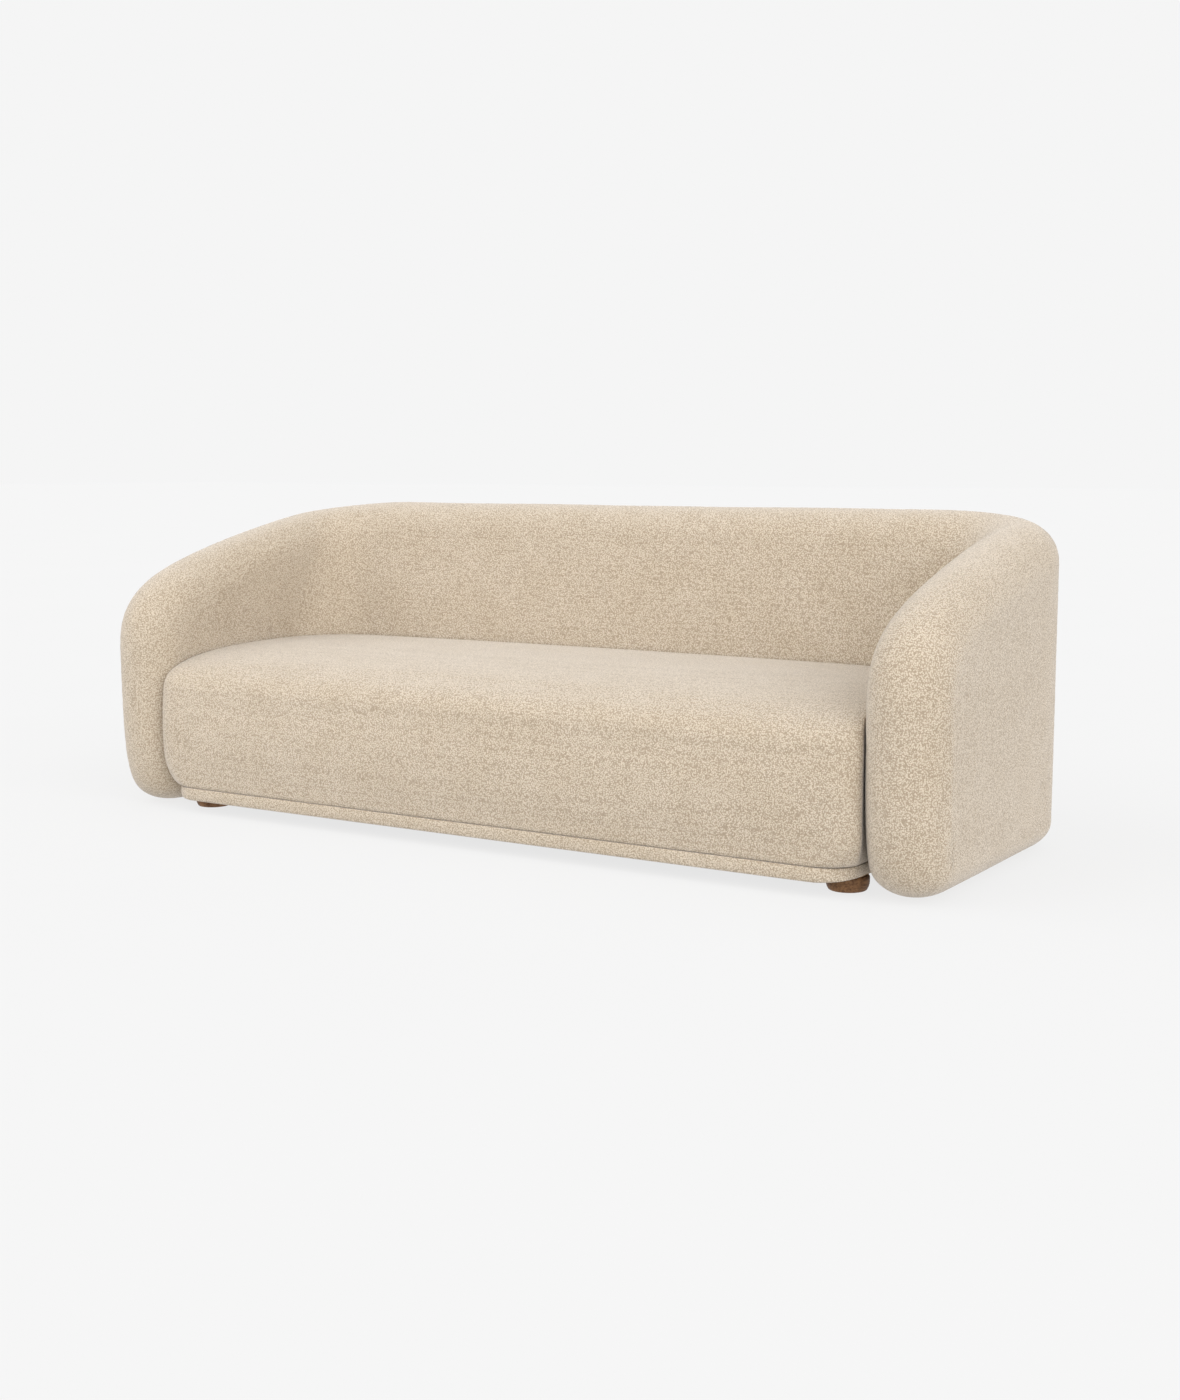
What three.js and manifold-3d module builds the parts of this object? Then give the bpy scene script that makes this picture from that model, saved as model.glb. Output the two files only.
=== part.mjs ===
// A long upholstered sofa: one padded wall of even thickness bends round the seat as arms and back,
// a single bench seat sits between the arms on a low fabric band, and five turned wooden feet carry it.
// Millimetres. +X is along the width, the front faces -Y, +Z is up, and the floor is at z = 0.
import * as THREE from "three";
import { mergeVertices } from "three/addons/utils/BufferGeometryUtils.js";
import Module from "manifold-3d";

const wasm = await Module();
wasm.setup();

// Overall size
const WIDTH = 2260;
const DEPTH = 914;
const HEIGHT = 770;

// The wrap: arms and back
const WALL = 181;
const PLAN_RADIUS = 247;
const WRAP_BOTTOM = 3;
const TOP_ROUNDING = 89;
const BOTTOM_ROUNDING = 65;
const ARM_TOE_CURVE = [[152, WRAP_BOTTOM], [14, WRAP_BOTTOM], [0, 64], [0, 385]];
const ARM_TOP_CURVE = [[0, 397], [0, 675], [287, 600], [537, HEIGHT], [1027, HEIGHT]];
const TOE_SPLIT = 0.5;
const FRONT_SPLIT = 0.233;

// The back's sitting face leans: its wall is thicker at seat level than at the top
const BACK_THICKENING = 75;
const INNER_RADIUS = 100;
const INNER_RADIUS_GAIN = 70;
const LEAN_TOP = 687;
const LEAN_SOFTNESS = 0.08;

// Seat and base
const SEAT_HEIGHT = 407;
const SEAT_CROWN = 5;
const SEAT_HALF_WIDTH = 943;
const SEAT_FRONT = -442;
const SEAT_REAR = 199;
const SEAT_BOTTOM = 65;
const SEAT_SHOULDER = 296;
const SEAT_FRONT_BULGE = 13;
const SEAT_FRONT_SLOPE = 427;
const SEAT_FRONT_SOFTNESS = 1.6;
const SEAT_SHOULDER_SHARE = 0.14;
const SEAT_SIDE_ROUNDING = 14;
const SEAT_REAR_ROUNDING = 10;
const SEAT_FRONT_WIDENING = 15;
const SEAT_CORNER_WIDTH = 60;
const SEAT_CORNER_DEPTH = 30;
const SEAT_REAR_RADIUS = 167;
const LOW_CORNER_HEIGHT = 85;
const LOW_CORNER_INSET = 8;
const LOW_CORNER_RADIUS = 80;
const BAND_FRONT = -440.5;
const BAND_HALF_WIDTH = SEAT_HALF_WIDTH - LOW_CORNER_INSET;
const BAND_REAR = -300;
const BAND_BOTTOM = 32.5;
const BAND_TOP = 64.2;

// Feet
const FOOT_RADIUS = 45.7;
const FOOT_TOP = 33.7;
const GLIDE_HEIGHT = 0.8;
const FOOT_FRONT_X = 889.5;
const FOOT_FRONT_Y = -324;
const FOOT_REAR_X = 856;
const FOOT_REAR_Y = 66;
const FOOT_CENTER_Y = -118;
const BOLT_RADIUS = 4;

// Timber, cloth and fits
const BOARD = 26;
const PANEL = 18;
const CLOTH = 3;
const GAP = 0.3;
const RAIL_BOTTOM = 36;
const RAIL_TOP = 215;
const FRAME_BOTTOM = 40;
const BOX_HALF_WIDTH = 931;
const BOX_FRONT = -418;
const BOX_REAR = 150;
const SIDE_RAIL_FRONT = -352;
const SIDE_RAIL_REAR = 70;
const CROSS_RAIL_HALF = 866;

// The wall's middle line in plan, measured as a run from the left arm's front to the right arm's
const HALF_WALL = WALL / 2;
const MID_X = WIDTH / 2 - HALF_WALL;
const MID_REAR = DEPTH / 2 - HALF_WALL;
const MID_RADIUS = PLAN_RADIUS - HALF_WALL;
const CORNER_Y = MID_REAR - MID_RADIUS;
const ARM_RUN = CORNER_Y + DEPTH / 2;
const CORNER_RUN = (MID_RADIUS * Math.PI) / 2;
const BACK_RUN = 2 * (MID_X - MID_RADIUS);
const PATH_LENGTH = 2 * (ARM_RUN + CORNER_RUN) + BACK_RUN;
const FLOOR_CLEAR = -60;

const lerp = THREE.MathUtils.lerp;
const clamp = THREE.MathUtils.clamp;
const smoothstep = THREE.MathUtils.smoothstep;

// ---------- solids and placing ----------

function indexedGeometry(positions, triangles) {
  const geometry = new THREE.BufferGeometry();
  geometry.setAttribute("position", new THREE.Float32BufferAttribute(positions.flat(), 3));
  geometry.setIndex(triangles.flat());
  if (signedVolume(geometry) < 0) {
    geometry.setIndex(triangles.map(([a, b, c]) => [a, c, b]).flat());
  }
  geometry.computeVertexNormals();
  return geometry;
}

function signedVolume(geometry) {
  const position = geometry.getAttribute("position");
  const index = geometry.getIndex();
  const a = new THREE.Vector3();
  const b = new THREE.Vector3();
  const c = new THREE.Vector3();
  let volume = 0;
  for (let i = 0; i < index.count; i += 3) {
    a.fromBufferAttribute(position, index.getX(i));
    b.fromBufferAttribute(position, index.getX(i + 1));
    c.fromBufferAttribute(position, index.getX(i + 2));
    volume += a.dot(b.cross(c)) / 6;
  }
  return volume;
}

function toSolid(geometry) {
  const bare = geometry.clone();
  bare.deleteAttribute("normal");
  bare.deleteAttribute("uv");
  const merged = mergeVertices(bare, 1e-4);
  const mesh = new wasm.Mesh({
    numProp: 3,
    vertProperties: new Float32Array(merged.getAttribute("position").array),
    triVerts: new Uint32Array(merged.getIndex().array),
  });
  return new wasm.Manifold(mesh);
}

function fromSolid(solid) {
  const mesh = solid.getMesh();
  const geometry = new THREE.BufferGeometry();
  geometry.setAttribute("position", new THREE.BufferAttribute(new Float32Array(mesh.vertProperties), 3));
  geometry.setIndex(new THREE.BufferAttribute(new Uint32Array(mesh.triVerts), 1));
  geometry.computeVertexNormals();
  return geometry;
}

function cut(geometry, ...tools) {
  const start = toSolid(geometry);
  return fromSolid(tools.reduce((solid, tool) => solid.subtract(toSolid(tool)), start));
}

function keepWithin(geometry, region) {
  return fromSolid(toSolid(geometry).intersect(toSolid(region)));
}

function boxBetween([x0, y0, z0], [x1, y1, z1]) {
  const box = new THREE.BoxGeometry(x1 - x0, y1 - y0, z1 - z0);
  return box.translate((x0 + x1) / 2, (y0 + y1) / 2, (z0 + z1) / 2);
}

// Swaps a box's x range to the other side when side is +1, so one rule serves both arms
function sideBox(side, [xInner, y0, z0], [xOuter, y1, z1]) {
  const x = [side * xInner, side * xOuter].sort((a, b) => a - b);
  return boxBetween([x[0], y0, z0], [x[1], y1, z1]);
}

// Extrudes an outline drawn in (y, z) along +X from x0
function extrudeAlongX(outline, x0, length) {
  const shape = new THREE.Shape(outline.map(([y, z]) => new THREE.Vector2(y, z)));
  const geometry = new THREE.ExtrudeGeometry(shape, { depth: length, bevelEnabled: false });
  const turn = new THREE.Matrix4().makeBasis(
    new THREE.Vector3(0, 1, 0),
    new THREE.Vector3(0, 0, 1),
    new THREE.Vector3(1, 0, 0),
  );
  return geometry.applyMatrix4(turn).translate(x0, 0, 0);
}

// A flat plate with corners [x, y] and round holes [x, y, radius]
function drilledPlate(corners, z0, z1, holes) {
  const shape = new THREE.Shape(corners.map(([x, y]) => new THREE.Vector2(x, y)));
  for (const [x, y, radius] of holes) {
    shape.holes.push(new THREE.Path().absarc(x, y, radius, 0, 2 * Math.PI, true));
  }
  const plate = new THREE.ExtrudeGeometry(shape, { depth: z1 - z0, bevelEnabled: false, curveSegments: 6 });
  return plate.translate(0, 0, z0);
}

function rectangle(x0, y0, x1, y1) {
  return [[x0, y0], [x1, y0], [x1, y1], [x0, y1]];
}

function turned(profile, segments) {
  const points = profile.map(([r, z]) => new THREE.Vector2(r, z));
  return new THREE.LatheGeometry(points, segments).rotateX(Math.PI / 2);
}

// ---------- the wrap's shape ----------

// A point on the middle line at a run, with the outward direction; runs past the middle mirror
function planAt(run) {
  const mirrored = run > PATH_LENGTH / 2;
  const s = mirrored ? PATH_LENGTH - run : run;
  const turn = clamp((s - ARM_RUN) / MID_RADIUS, 0, Math.PI / 2);
  const point = {
    x: -MID_X + MID_RADIUS - MID_RADIUS * Math.cos(turn) + Math.max(0, s - ARM_RUN - CORNER_RUN),
    y: CORNER_Y + MID_RADIUS * Math.sin(turn) + Math.min(0, s - ARM_RUN),
    nx: -Math.cos(turn),
    ny: Math.sin(turn),
  };
  return mirrored ? { ...point, x: -point.x, nx: -point.nx } : point;
}

// How much thicker the back's wall is at a height
function thickeningAt(z) {
  const t = (LEAN_TOP - z) / (LEAN_TOP - SEAT_HEIGHT);
  const soft = (t + Math.sqrt(t * t + 4 * LEAN_SOFTNESS * LEAN_SOFTNESS)) / 2;
  return BACK_THICKENING * Math.min(1, soft);
}

// The sitting side's point that faces the middle line at a run and height
function innerAt(run, z) {
  const mirrored = run > PATH_LENGTH / 2;
  const s = mirrored ? PATH_LENGTH - run : run;
  const thickening = thickeningAt(z);
  const radius = INNER_RADIUS + (INNER_RADIUS_GAIN * thickening) / BACK_THICKENING;
  const armX = -(WIDTH / 2 - WALL);
  const backY = DEPTH / 2 - WALL - thickening;
  const turn = clamp((s - ARM_RUN) / CORNER_RUN, 0, 1) * (Math.PI / 2);
  const along = clamp((s - ARM_RUN - CORNER_RUN) / (BACK_RUN / 2), 0, 1);
  const shift = (backY - radius - CORNER_Y) * smoothstep(s, ARM_RUN * 0.4, ARM_RUN);
  const onArm = s < ARM_RUN;
  const x = onArm ? armX : (armX + radius) * (1 - along) - radius * Math.cos(turn);
  const y = onArm ? s - DEPTH / 2 + shift : backY - radius + radius * Math.sin(turn);
  return { x: mirrored ? -x : x, y };
}

// Position in the wall: across is -1 on the sitting side, 0 in the middle, +1 outside
function wrapPoint(run, z, across, inset) {
  const mid = planAt(run);
  if (across >= 0) {
    const reach = (HALF_WALL - inset) * across;
    return [mid.x + mid.nx * reach, mid.y + mid.ny * reach, z];
  }
  const inner = innerAt(run, z);
  const full = Math.hypot(inner.x - mid.x, inner.y - mid.y);
  const share = -across * (1 - inset / full);
  return [lerp(mid.x, inner.x, share), lerp(mid.y, inner.y, share), z];
}

function bezierAt(points, t) {
  let level = points;
  while (level.length > 1) {
    level = level.slice(1).map((p, i) => [lerp(level[i][0], p[0], t), lerp(level[i][1], p[1], t)]);
  }
  return level[0];
}

// The wall seen side-on, unrolled: a run of its edge, with the direction into the wall at each point
function edgeTable(curve, first, last, count) {
  return Array.from({ length: count + 1 }, (_, i) => {
    const t = lerp(first, last, i / count);
    const [s, z] = bezierAt(curve, t);
    const [s1, z1] = bezierAt(curve, Math.min(1, t + 1e-4));
    const [s0, z0] = bezierAt(curve, Math.max(0, t - 1e-4));
    const length = Math.hypot(s1 - s0, z1 - z0);
    return { s, z, ns: (z1 - z0) / length, nz: -(s1 - s0) / length };
  });
}

const TOP_EDGE = edgeTable(ARM_TOP_CURVE, 0, 1, 240);
const TOE_EDGE = edgeTable(ARM_TOE_CURVE, 1, 0, 80);

// A table's edge at a run, level beyond its end
function edgeAt(table, s) {
  const after = table.findIndex((p) => p.s >= s);
  if (after < 0) {
    const { z, nz } = table[table.length - 1];
    return { s, z, ns: 0, nz: Math.sign(nz) };
  }
  const a = table[Math.max(0, after - 1)];
  const b = table[after];
  const f = b.s > a.s ? (s - a.s) / (b.s - a.s) : 0;
  return { s, z: lerp(a.z, b.z, f), ns: lerp(a.ns, b.ns, f), nz: lerp(a.nz, b.nz, f) };
}

function topEdgeAt(s) {
  return edgeAt(TOP_EDGE, s);
}

function bottomEdgeAt(s) {
  return edgeAt(TOE_EDGE, s);
}

// The arm's front edge from the middle of its bottom corner up to the start of the sloping top
function frontEdge(count) {
  const toe = edgeTable(ARM_TOE_CURVE, TOE_SPLIT, 1, 24);
  const front = edgeTable(ARM_TOP_CURVE, 0, FRONT_SPLIT, 56);
  return resample([...toe, ...front], count);
}

function resample(points, count) {
  const runs = [0];
  for (let i = 1; i < points.length; i += 1) {
    runs.push(runs[i - 1] + Math.hypot(points[i].s - points[i - 1].s, points[i].z - points[i - 1].z));
  }
  const total = runs[runs.length - 1];
  return Array.from({ length: count + 1 }, (_, i) => {
    const target = (total * i) / count;
    const after = Math.max(1, runs.findIndex((r) => r >= target - 1e-9));
    const f = (target - runs[after - 1]) / (runs[after] - runs[after - 1]);
    const a = points[after - 1];
    const b = points[after];
    return {
      s: lerp(a.s, b.s, f),
      z: lerp(a.z, b.z, f),
      ns: lerp(a.ns, b.ns, f),
      nz: lerp(a.nz, b.nz, f),
    };
  });
}

// Runs of the columns over one half of the wrap, from a given start to the middle of the back
function columnRuns(start, armSteps, cornerSteps, backSteps) {
  const runs = [];
  for (let i = 0; i < armSteps; i += 1) {
    runs.push(lerp(start, ARM_RUN, Math.pow(i / armSteps, 1.15)));
  }
  for (let i = 0; i < cornerSteps; i += 1) runs.push(ARM_RUN + (CORNER_RUN * i) / cornerSteps);
  for (let i = 0; i <= backSteps; i += 1) {
    runs.push(ARM_RUN + CORNER_RUN + (BACK_RUN * i) / (2 * backSteps));
  }
  return runs;
}

function mirrorEdge(points) {
  return points.map((p) => ({ s: PATH_LENGTH - p.s, z: p.z, ns: -p.ns, nz: p.nz }));
}

// Moves an outline point inwards, by a rounding that is taller at the bottom edge than at the top
function movedIn(point, inset, turn) {
  const upward = Math.max(0, point.nz);
  const rounding = lerp(TOP_ROUNDING, BOTTOM_ROUNDING, upward * upward);
  const depth = inset + (rounding - inset) * (1 - Math.cos(turn));
  return { s: point.s + point.ns * depth, z: point.z + point.nz * depth };
}

// The whole wrap as one closed solid, moved in from its outer surface by an inset
function wrapSolid(inset) {
  const { arm, corner, back, front, rings, rows } = DETAIL;
  const left = frontEdge(front);
  const bottomHalf = columnRuns(left[0].s, arm, corner, back).map(bottomEdgeAt);
  const topHalf = columnRuns(left[front].s, arm, corner, back).map(topEdgeAt);
  const bottom = [...bottomHalf, ...mirrorEdge(bottomHalf).reverse().slice(1)];
  const top = [...topHalf, ...mirrorEdge(topHalf).reverse().slice(1)];
  const right = mirrorEdge(left);
  const columns = bottom.length;
  const loop = [...bottom, ...right.slice(1, -1), ...top.slice().reverse(), ...left.slice(1, -1).reverse()];

  const positions = [];
  const triangles = [];
  const add = (s, z, across) => positions.push(wrapPoint(s, z, across, inset)) - 1;
  const ridge = loop.map((p) => movedIn(p, inset, 0)).map((q) => add(q.s, q.z, 0));

  for (const side of [1, -1]) {
    const addTriangle = (a, b, c) => triangles.push(side > 0 ? [a, b, c] : [a, c, b]);
    let previous = ridge;
    let flat = [];
    for (let k = 1; k <= rings; k += 1) {
      const turn = (k / rings) * (Math.PI / 2);
      flat = loop.map((p) => movedIn(p, inset, turn));
      const ring = flat.map((q) => add(q.s, q.z, side * Math.sin(turn)));
      ring.forEach((here, i) => {
        const next = (i + 1) % ring.length;
        addTriangle(previous[i], previous[next], ring[next]);
        addTriangle(previous[i], ring[next], here);
      });
      previous = ring;
    }
    const face = faceColumns(flat, previous, columns, front, rows[side], (s, z) => add(s, z, side));
    face.grid.slice(1).forEach((column, i) => {
      for (let j = 0; j < column.length - 1; j += 1) {
        addTriangle(face.grid[i][j], column[j], column[j + 1]);
        addTriangle(face.grid[i][j], column[j + 1], face.grid[i][j + 1]);
      }
    });
    for (const cap of face.caps) {
      const outline = cap.map(({ s, z }) => new THREE.Vector2(s, z));
      const ids = cap.map(({ id }) => id);
      for (const [a, b, c] of THREE.ShapeUtils.triangulateShape(outline, [])) {
        addTriangle(ids[a], ids[b], ids[c]);
      }
    }
  }
  return indexedGeometry(positions, triangles);
}

// Columns of points over a flat face, and the two end pieces bounded by the arms' front edges
function faceColumns(flat, ids, columns, front, rows, add) {
  const topAt = (i) => columns + front - 1 + (columns - 1 - i);
  const mark = (index) => ({ ...flat[index], id: ids[index] });
  const grid = [];
  const marks = [];
  for (let i = 0; i < columns; i += 1) {
    const low = mark(i);
    const high = mark(topAt(i));
    const column = [low];
    for (let j = 1; j < rows.length - 1; j += 1) {
      const s = lerp(low.s, high.s, rows[j]);
      const z = lerp(low.z, high.z, rows[j]);
      column.push({ s, z, id: add(s, z) });
    }
    column.push(high);
    marks.push(column);
    grid.push(column.map((p) => p.id));
  }
  const leftFront = [];
  for (let i = 1; i < front; i += 1) leftFront.push(mark(flat.length - i));
  const rightFront = [];
  for (let i = 0; i < front - 1; i += 1) rightFront.push(mark(columns + i));
  const leftCap = [...marks[0], ...leftFront.reverse()];
  const rightCap = [...marks[columns - 1].slice().reverse(), ...rightFront];
  return { grid, caps: [counterClockwise(leftCap), counterClockwise(rightCap)] };
}

function counterClockwise(points) {
  const area = THREE.ShapeUtils.area(points.map(({ s, z }) => ({ x: s, y: z })));
  return area < 0 ? points.slice().reverse() : points;
}

const DETAIL = {
  arm: 8,
  corner: 5,
  back: 3,
  front: 9,
  rings: 4,
  rows: { "1": [0, 1], "-1": [0, 0.5, 0.72, 0.9, 1] },
};

// A strip that follows the middle line, used to open the cover underneath
function pathStrip(halfWidth, runStart, z0, z1) {
  const half = columnRuns(runStart, 2, 6, 1);
  const runs = [...half, ...half.map((s) => PATH_LENGTH - s).reverse().slice(1)];
  const positions = [];
  for (const s of runs) {
    const { x, y, nx, ny } = planAt(s);
    for (const [reach, z] of [[-halfWidth, z0], [halfWidth, z0], [halfWidth, z1], [-halfWidth, z1]]) {
      positions.push([x + nx * reach, y + ny * reach, z]);
    }
  }
  const triangles = [[0, 1, 2], [0, 2, 3]];
  for (let i = 0; i < runs.length - 1; i += 1) {
    for (let j = 0; j < 4; j += 1) {
      const a = 4 * i + j;
      const b = 4 * i + ((j + 1) % 4);
      triangles.push([a, a + 4, b + 4], [a, b + 4, b]);
    }
  }
  const last = 4 * (runs.length - 1);
  triangles.push([last, last + 2, last + 1], [last, last + 3, last + 2]);
  return indexedGeometry(positions, triangles);
}

// ---------- frame inside the wrap ----------

const PANEL_INSET = 60;
const POST = 49.4;
const FRONT_POST_Y = [-372, -322];
const FRONT_POST_TOP = 430;
const CORNER_POST_Y = [300, 356.7];
const CORNER_POST_TOP = 620;
const POST_BOTTOM = 62;
const PANEL_REAR = 320;
const BACK_FRAME_Y = [357, 385];
const BACK_FRAME_X = 980;
const TOP_RAIL_Z = [592, 660];
const BOTTOM_RAIL_TOP = 130;
const WEBBING_Y = [352, 356.6];

// The arm panel's outline in (y, z): the arm's own side view moved in
function armPanelOutline(inset, bottom, rear) {
  const outline = [[rear, bottom], [-DEPTH / 2 + 121, bottom]];
  for (const p of frontEdge(6).filter((q) => q.z > bottom + 30)) {
    outline.push([p.s + p.ns * inset - DEPTH / 2, p.z + p.nz * inset]);
  }
  const runs = [130, 200, 290, 400, 520, 650];
  for (const s of runs) {
    const p = topEdgeAt(s);
    outline.push([p.s + p.ns * inset - DEPTH / 2, p.z + p.nz * inset]);
  }
  outline.push([rear, outline[outline.length - 1][1] + 12]);
  return outline;
}

function armPanel(side) {
  const x0 = side * MID_X - PANEL / 2;
  return extrudeAlongX(armPanelOutline(PANEL_INSET, FRAME_BOTTOM, PANEL_REAR), x0, PANEL);
}

function postBox(side, [y0, y1], top, grow, bottom) {
  const inner = MID_X - PANEL / 2 - GAP - POST;
  const outer = MID_X - PANEL / 2 - GAP;
  return sideBox(side, [inner - grow, y0 - grow, bottom], [outer + grow, y1 + grow, top + grow]);
}

function armFrontPost(side) {
  return postBox(side, FRONT_POST_Y, FRONT_POST_TOP, 0, POST_BOTTOM);
}

function backCornerPost(side) {
  return postBox(side, CORNER_POST_Y, CORNER_POST_TOP, 0, POST_BOTTOM);
}

function backBoard([x0, x1], [z0, z1]) {
  return boxBetween([x0, BACK_FRAME_Y[0], z0], [x1, BACK_FRAME_Y[1], z1]);
}

function backUpright(x) {
  return backBoard([x - 35, x + 35], [BOTTOM_RAIL_TOP + GAP, TOP_RAIL_Z[0] - GAP]);
}

function backWebbing() {
  const x = BACK_FRAME_X - 2;
  return boxBetween([-x, WEBBING_Y[0], 110], [x, WEBBING_Y[1], 640]);
}

// Room for the frame in the padding, open underneath
function frameRooms() {
  const rooms = [];
  for (const side of [-1, 1]) {
    const x0 = side * MID_X - PANEL / 2 - GAP;
    const outline = armPanelOutline(PANEL_INSET - GAP, FLOOR_CLEAR, PANEL_REAR + GAP);
    rooms.push(extrudeAlongX(outline, x0, PANEL + 2 * GAP));
    rooms.push(postBox(side, FRONT_POST_Y, FRONT_POST_TOP, GAP, FLOOR_CLEAR));
    rooms.push(postBox(side, CORNER_POST_Y, CORNER_POST_TOP, GAP + 0.05, FLOOR_CLEAR));
  }
  const x = BACK_FRAME_X + 0.2;
  const webbingFront = WEBBING_Y[0] - GAP;
  rooms.push(boxBetween([-x, webbingFront, FLOOR_CLEAR], [x, BACK_FRAME_Y[1] + GAP, TOP_RAIL_Z[1] + GAP]));
  return rooms;
}

// ---------- seat ----------

// A rounded rectangle in plan with RING_POINTS points, counter-clockwise from the front right corner
const FRONT_CORNER_STEPS = 3;
const REAR_CORNER_STEPS = 6;
const SIDE_STEPS = 6;
const FRONT_STEPS = 12;
const REAR_STEPS = 6;
const RING_POINTS = 2 * (FRONT_CORNER_STEPS + REAR_CORNER_STEPS + SIDE_STEPS) + FRONT_STEPS + REAR_STEPS;

// How far out the seat may reach at a depth, beside an arm whose nose curves away in front
function reachBeside(side, y) {
  const ahead = Math.min(1, Math.max(0, TOP_ROUNDING - DEPTH / 2 - y) / TOP_ROUNDING);
  return side + HALF_WALL * (1 - Math.sqrt(1 - ahead ** 2));
}

// One level outline of the seat: its front is wider than its sides by a widening, between the arms' noses
function seatRing({ side, front, rear, widening, corner }, heightAt) {
  const r = SEAT_REAR_RADIUS;
  const frontX = side + widening - corner[0];
  const rearX = side - r;
  const atFront = { y: front + corner[1], radii: corner, bends: FRONT_CORNER_STEPS };
  const atRear = { y: rear - r, radii: [r, r], bends: REAR_CORNER_STEPS };
  const corners = [
    { ...atFront, x: frontX, start: -Math.PI / 2, steps: SIDE_STEPS },
    { ...atRear, x: rearX, start: 0, steps: REAR_STEPS },
    { ...atRear, x: -rearX, start: Math.PI / 2, steps: SIDE_STEPS },
    { ...atFront, x: -frontX, start: Math.PI, steps: FRONT_STEPS },
  ];
  const pointOn = ({ x, y, radii, start }, part) => {
    const angle = start + (part * Math.PI) / 2;
    return [x + radii[0] * Math.cos(angle), y + radii[1] * Math.sin(angle)];
  };
  const ring = [];
  corners.forEach((turn, c) => {
    for (let i = 0; i <= turn.bends; i += 1) ring.push(pointOn(turn, i / turn.bends));
    const from = pointOn(turn, 1);
    const to = pointOn(corners[(c + 1) % 4], 0);
    for (let i = 1; i < turn.steps; i += 1) {
      const part = (1 - Math.cos((i / turn.steps) * Math.PI)) / 2;
      ring.push([lerp(from[0], to[0], part), lerp(from[1], to[1], part)]);
    }
  });
  return ring.map(([x, y]) => {
    const reach = reachBeside(side, y);
    const inside = Math.max(-reach, Math.min(reach, x));
    return [inside, y, heightAt(inside)];
  });
}

// Pairs of ring points facing each other front to back, from the right side to the left
function ringPairs() {
  const firstRear = FRONT_CORNER_STEPS + 2;
  return Array.from({ length: RING_POINTS / 2 }, (_, k) => [
    (firstRear - 1 - k + RING_POINTS) % RING_POINTS,
    firstRear + k,
  ]);
}

function ringSolid(rings) {
  const positions = rings.flat();
  const triangles = [];
  const last = (rings.length - 1) * RING_POINTS;
  for (let k = 0; k < rings.length - 1; k += 1) {
    for (let i = 0; i < RING_POINTS; i += 1) {
      const a = k * RING_POINTS + i;
      const b = k * RING_POINTS + ((i + 1) % RING_POINTS);
      triangles.push([a, b, b + RING_POINTS], [a, b + RING_POINTS, a + RING_POINTS]);
    }
  }
  const pairs = ringPairs();
  pairs.slice(1).forEach(([frontLeft, rearLeft], k) => {
    const [frontRight, rearRight] = pairs[k];
    triangles.push([frontRight, frontLeft, rearLeft], [frontRight, rearLeft, rearRight]);
    const top = [frontLeft, frontRight, rearRight, rearLeft].map((i) => i + last);
    triangles.push([top[0], top[1], top[2]], [top[0], top[2], top[3]]);
  });
  return indexedGeometry(positions, triangles);
}

// How far the seat's lower corners have turned in at a height above its underside: 0 to 1
function lowCornerBend(height) {
  const part = Math.max(0, 1 - height / LOW_CORNER_HEIGHT);
  return 1 - Math.sqrt(1 - part * part);
}

// How far the seat's front edge has come back where its profile has turned by an angle from upright
function seatSetBack(turn) {
  const part = 1 - Math.cos(turn);
  return SEAT_FRONT_SLOPE * lerp(part ** SEAT_FRONT_SOFTNESS, part, SEAT_SHOULDER_SHARE);
}

// The bench seat: a slightly bellied front face, a long soft front edge, rounder lower corners, a low crown
function seatSolid(inset) {
  const rings = [];
  const crownAt = (x) => SEAT_CROWN * (1 - (x / SEAT_HALF_WIDTH) ** 2);
  const rise = SEAT_SHOULDER - SEAT_BOTTOM;
  const bellyAt = (height) => SEAT_FRONT_BULGE * Math.sin((Math.PI * height) / (rise + 60));
  for (const [height, tuck] of [[0, 4], [4, 1], [14, 0], [30, 0], [55, 0], [85, 0], [150, 0], [210, 0]]) {
    const bend = lowCornerBend(height);
    const outline = {
      side: SEAT_HALF_WIDTH - inset - LOW_CORNER_INSET * bend,
      front: SEAT_FRONT - bellyAt(height) + inset + tuck,
      rear: SEAT_REAR - inset,
      widening: SEAT_FRONT_WIDENING * (1 - bend),
      corner: [SEAT_CORNER_WIDTH, SEAT_CORNER_DEPTH].map((radius) => lerp(radius, LOW_CORNER_RADIUS, bend)),
    };
    rings.push(seatRing(outline, () => SEAT_BOTTOM + height));
  }
  for (let k = 0; k <= 8; k += 1) {
    const turn = (Math.pow(k / 8, 1.25) * Math.PI) / 2;
    const part = 1 - Math.cos(turn);
    const lift = (SEAT_HEIGHT - SEAT_SHOULDER - inset) * Math.sin(turn);
    const outline = {
      side: SEAT_HALF_WIDTH - inset - SEAT_SIDE_ROUNDING * part,
      front: SEAT_FRONT - bellyAt(rise) + inset + seatSetBack(turn),
      rear: SEAT_REAR - inset - SEAT_REAR_ROUNDING * part,
      widening: SEAT_FRONT_WIDENING,
      corner: [SEAT_CORNER_WIDTH, SEAT_CORNER_DEPTH],
    };
    rings.push(seatRing(outline, (x) => SEAT_SHOULDER + lift + crownAt(x) * Math.sin(turn)));
  }
  return ringSolid(rings);
}

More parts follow.
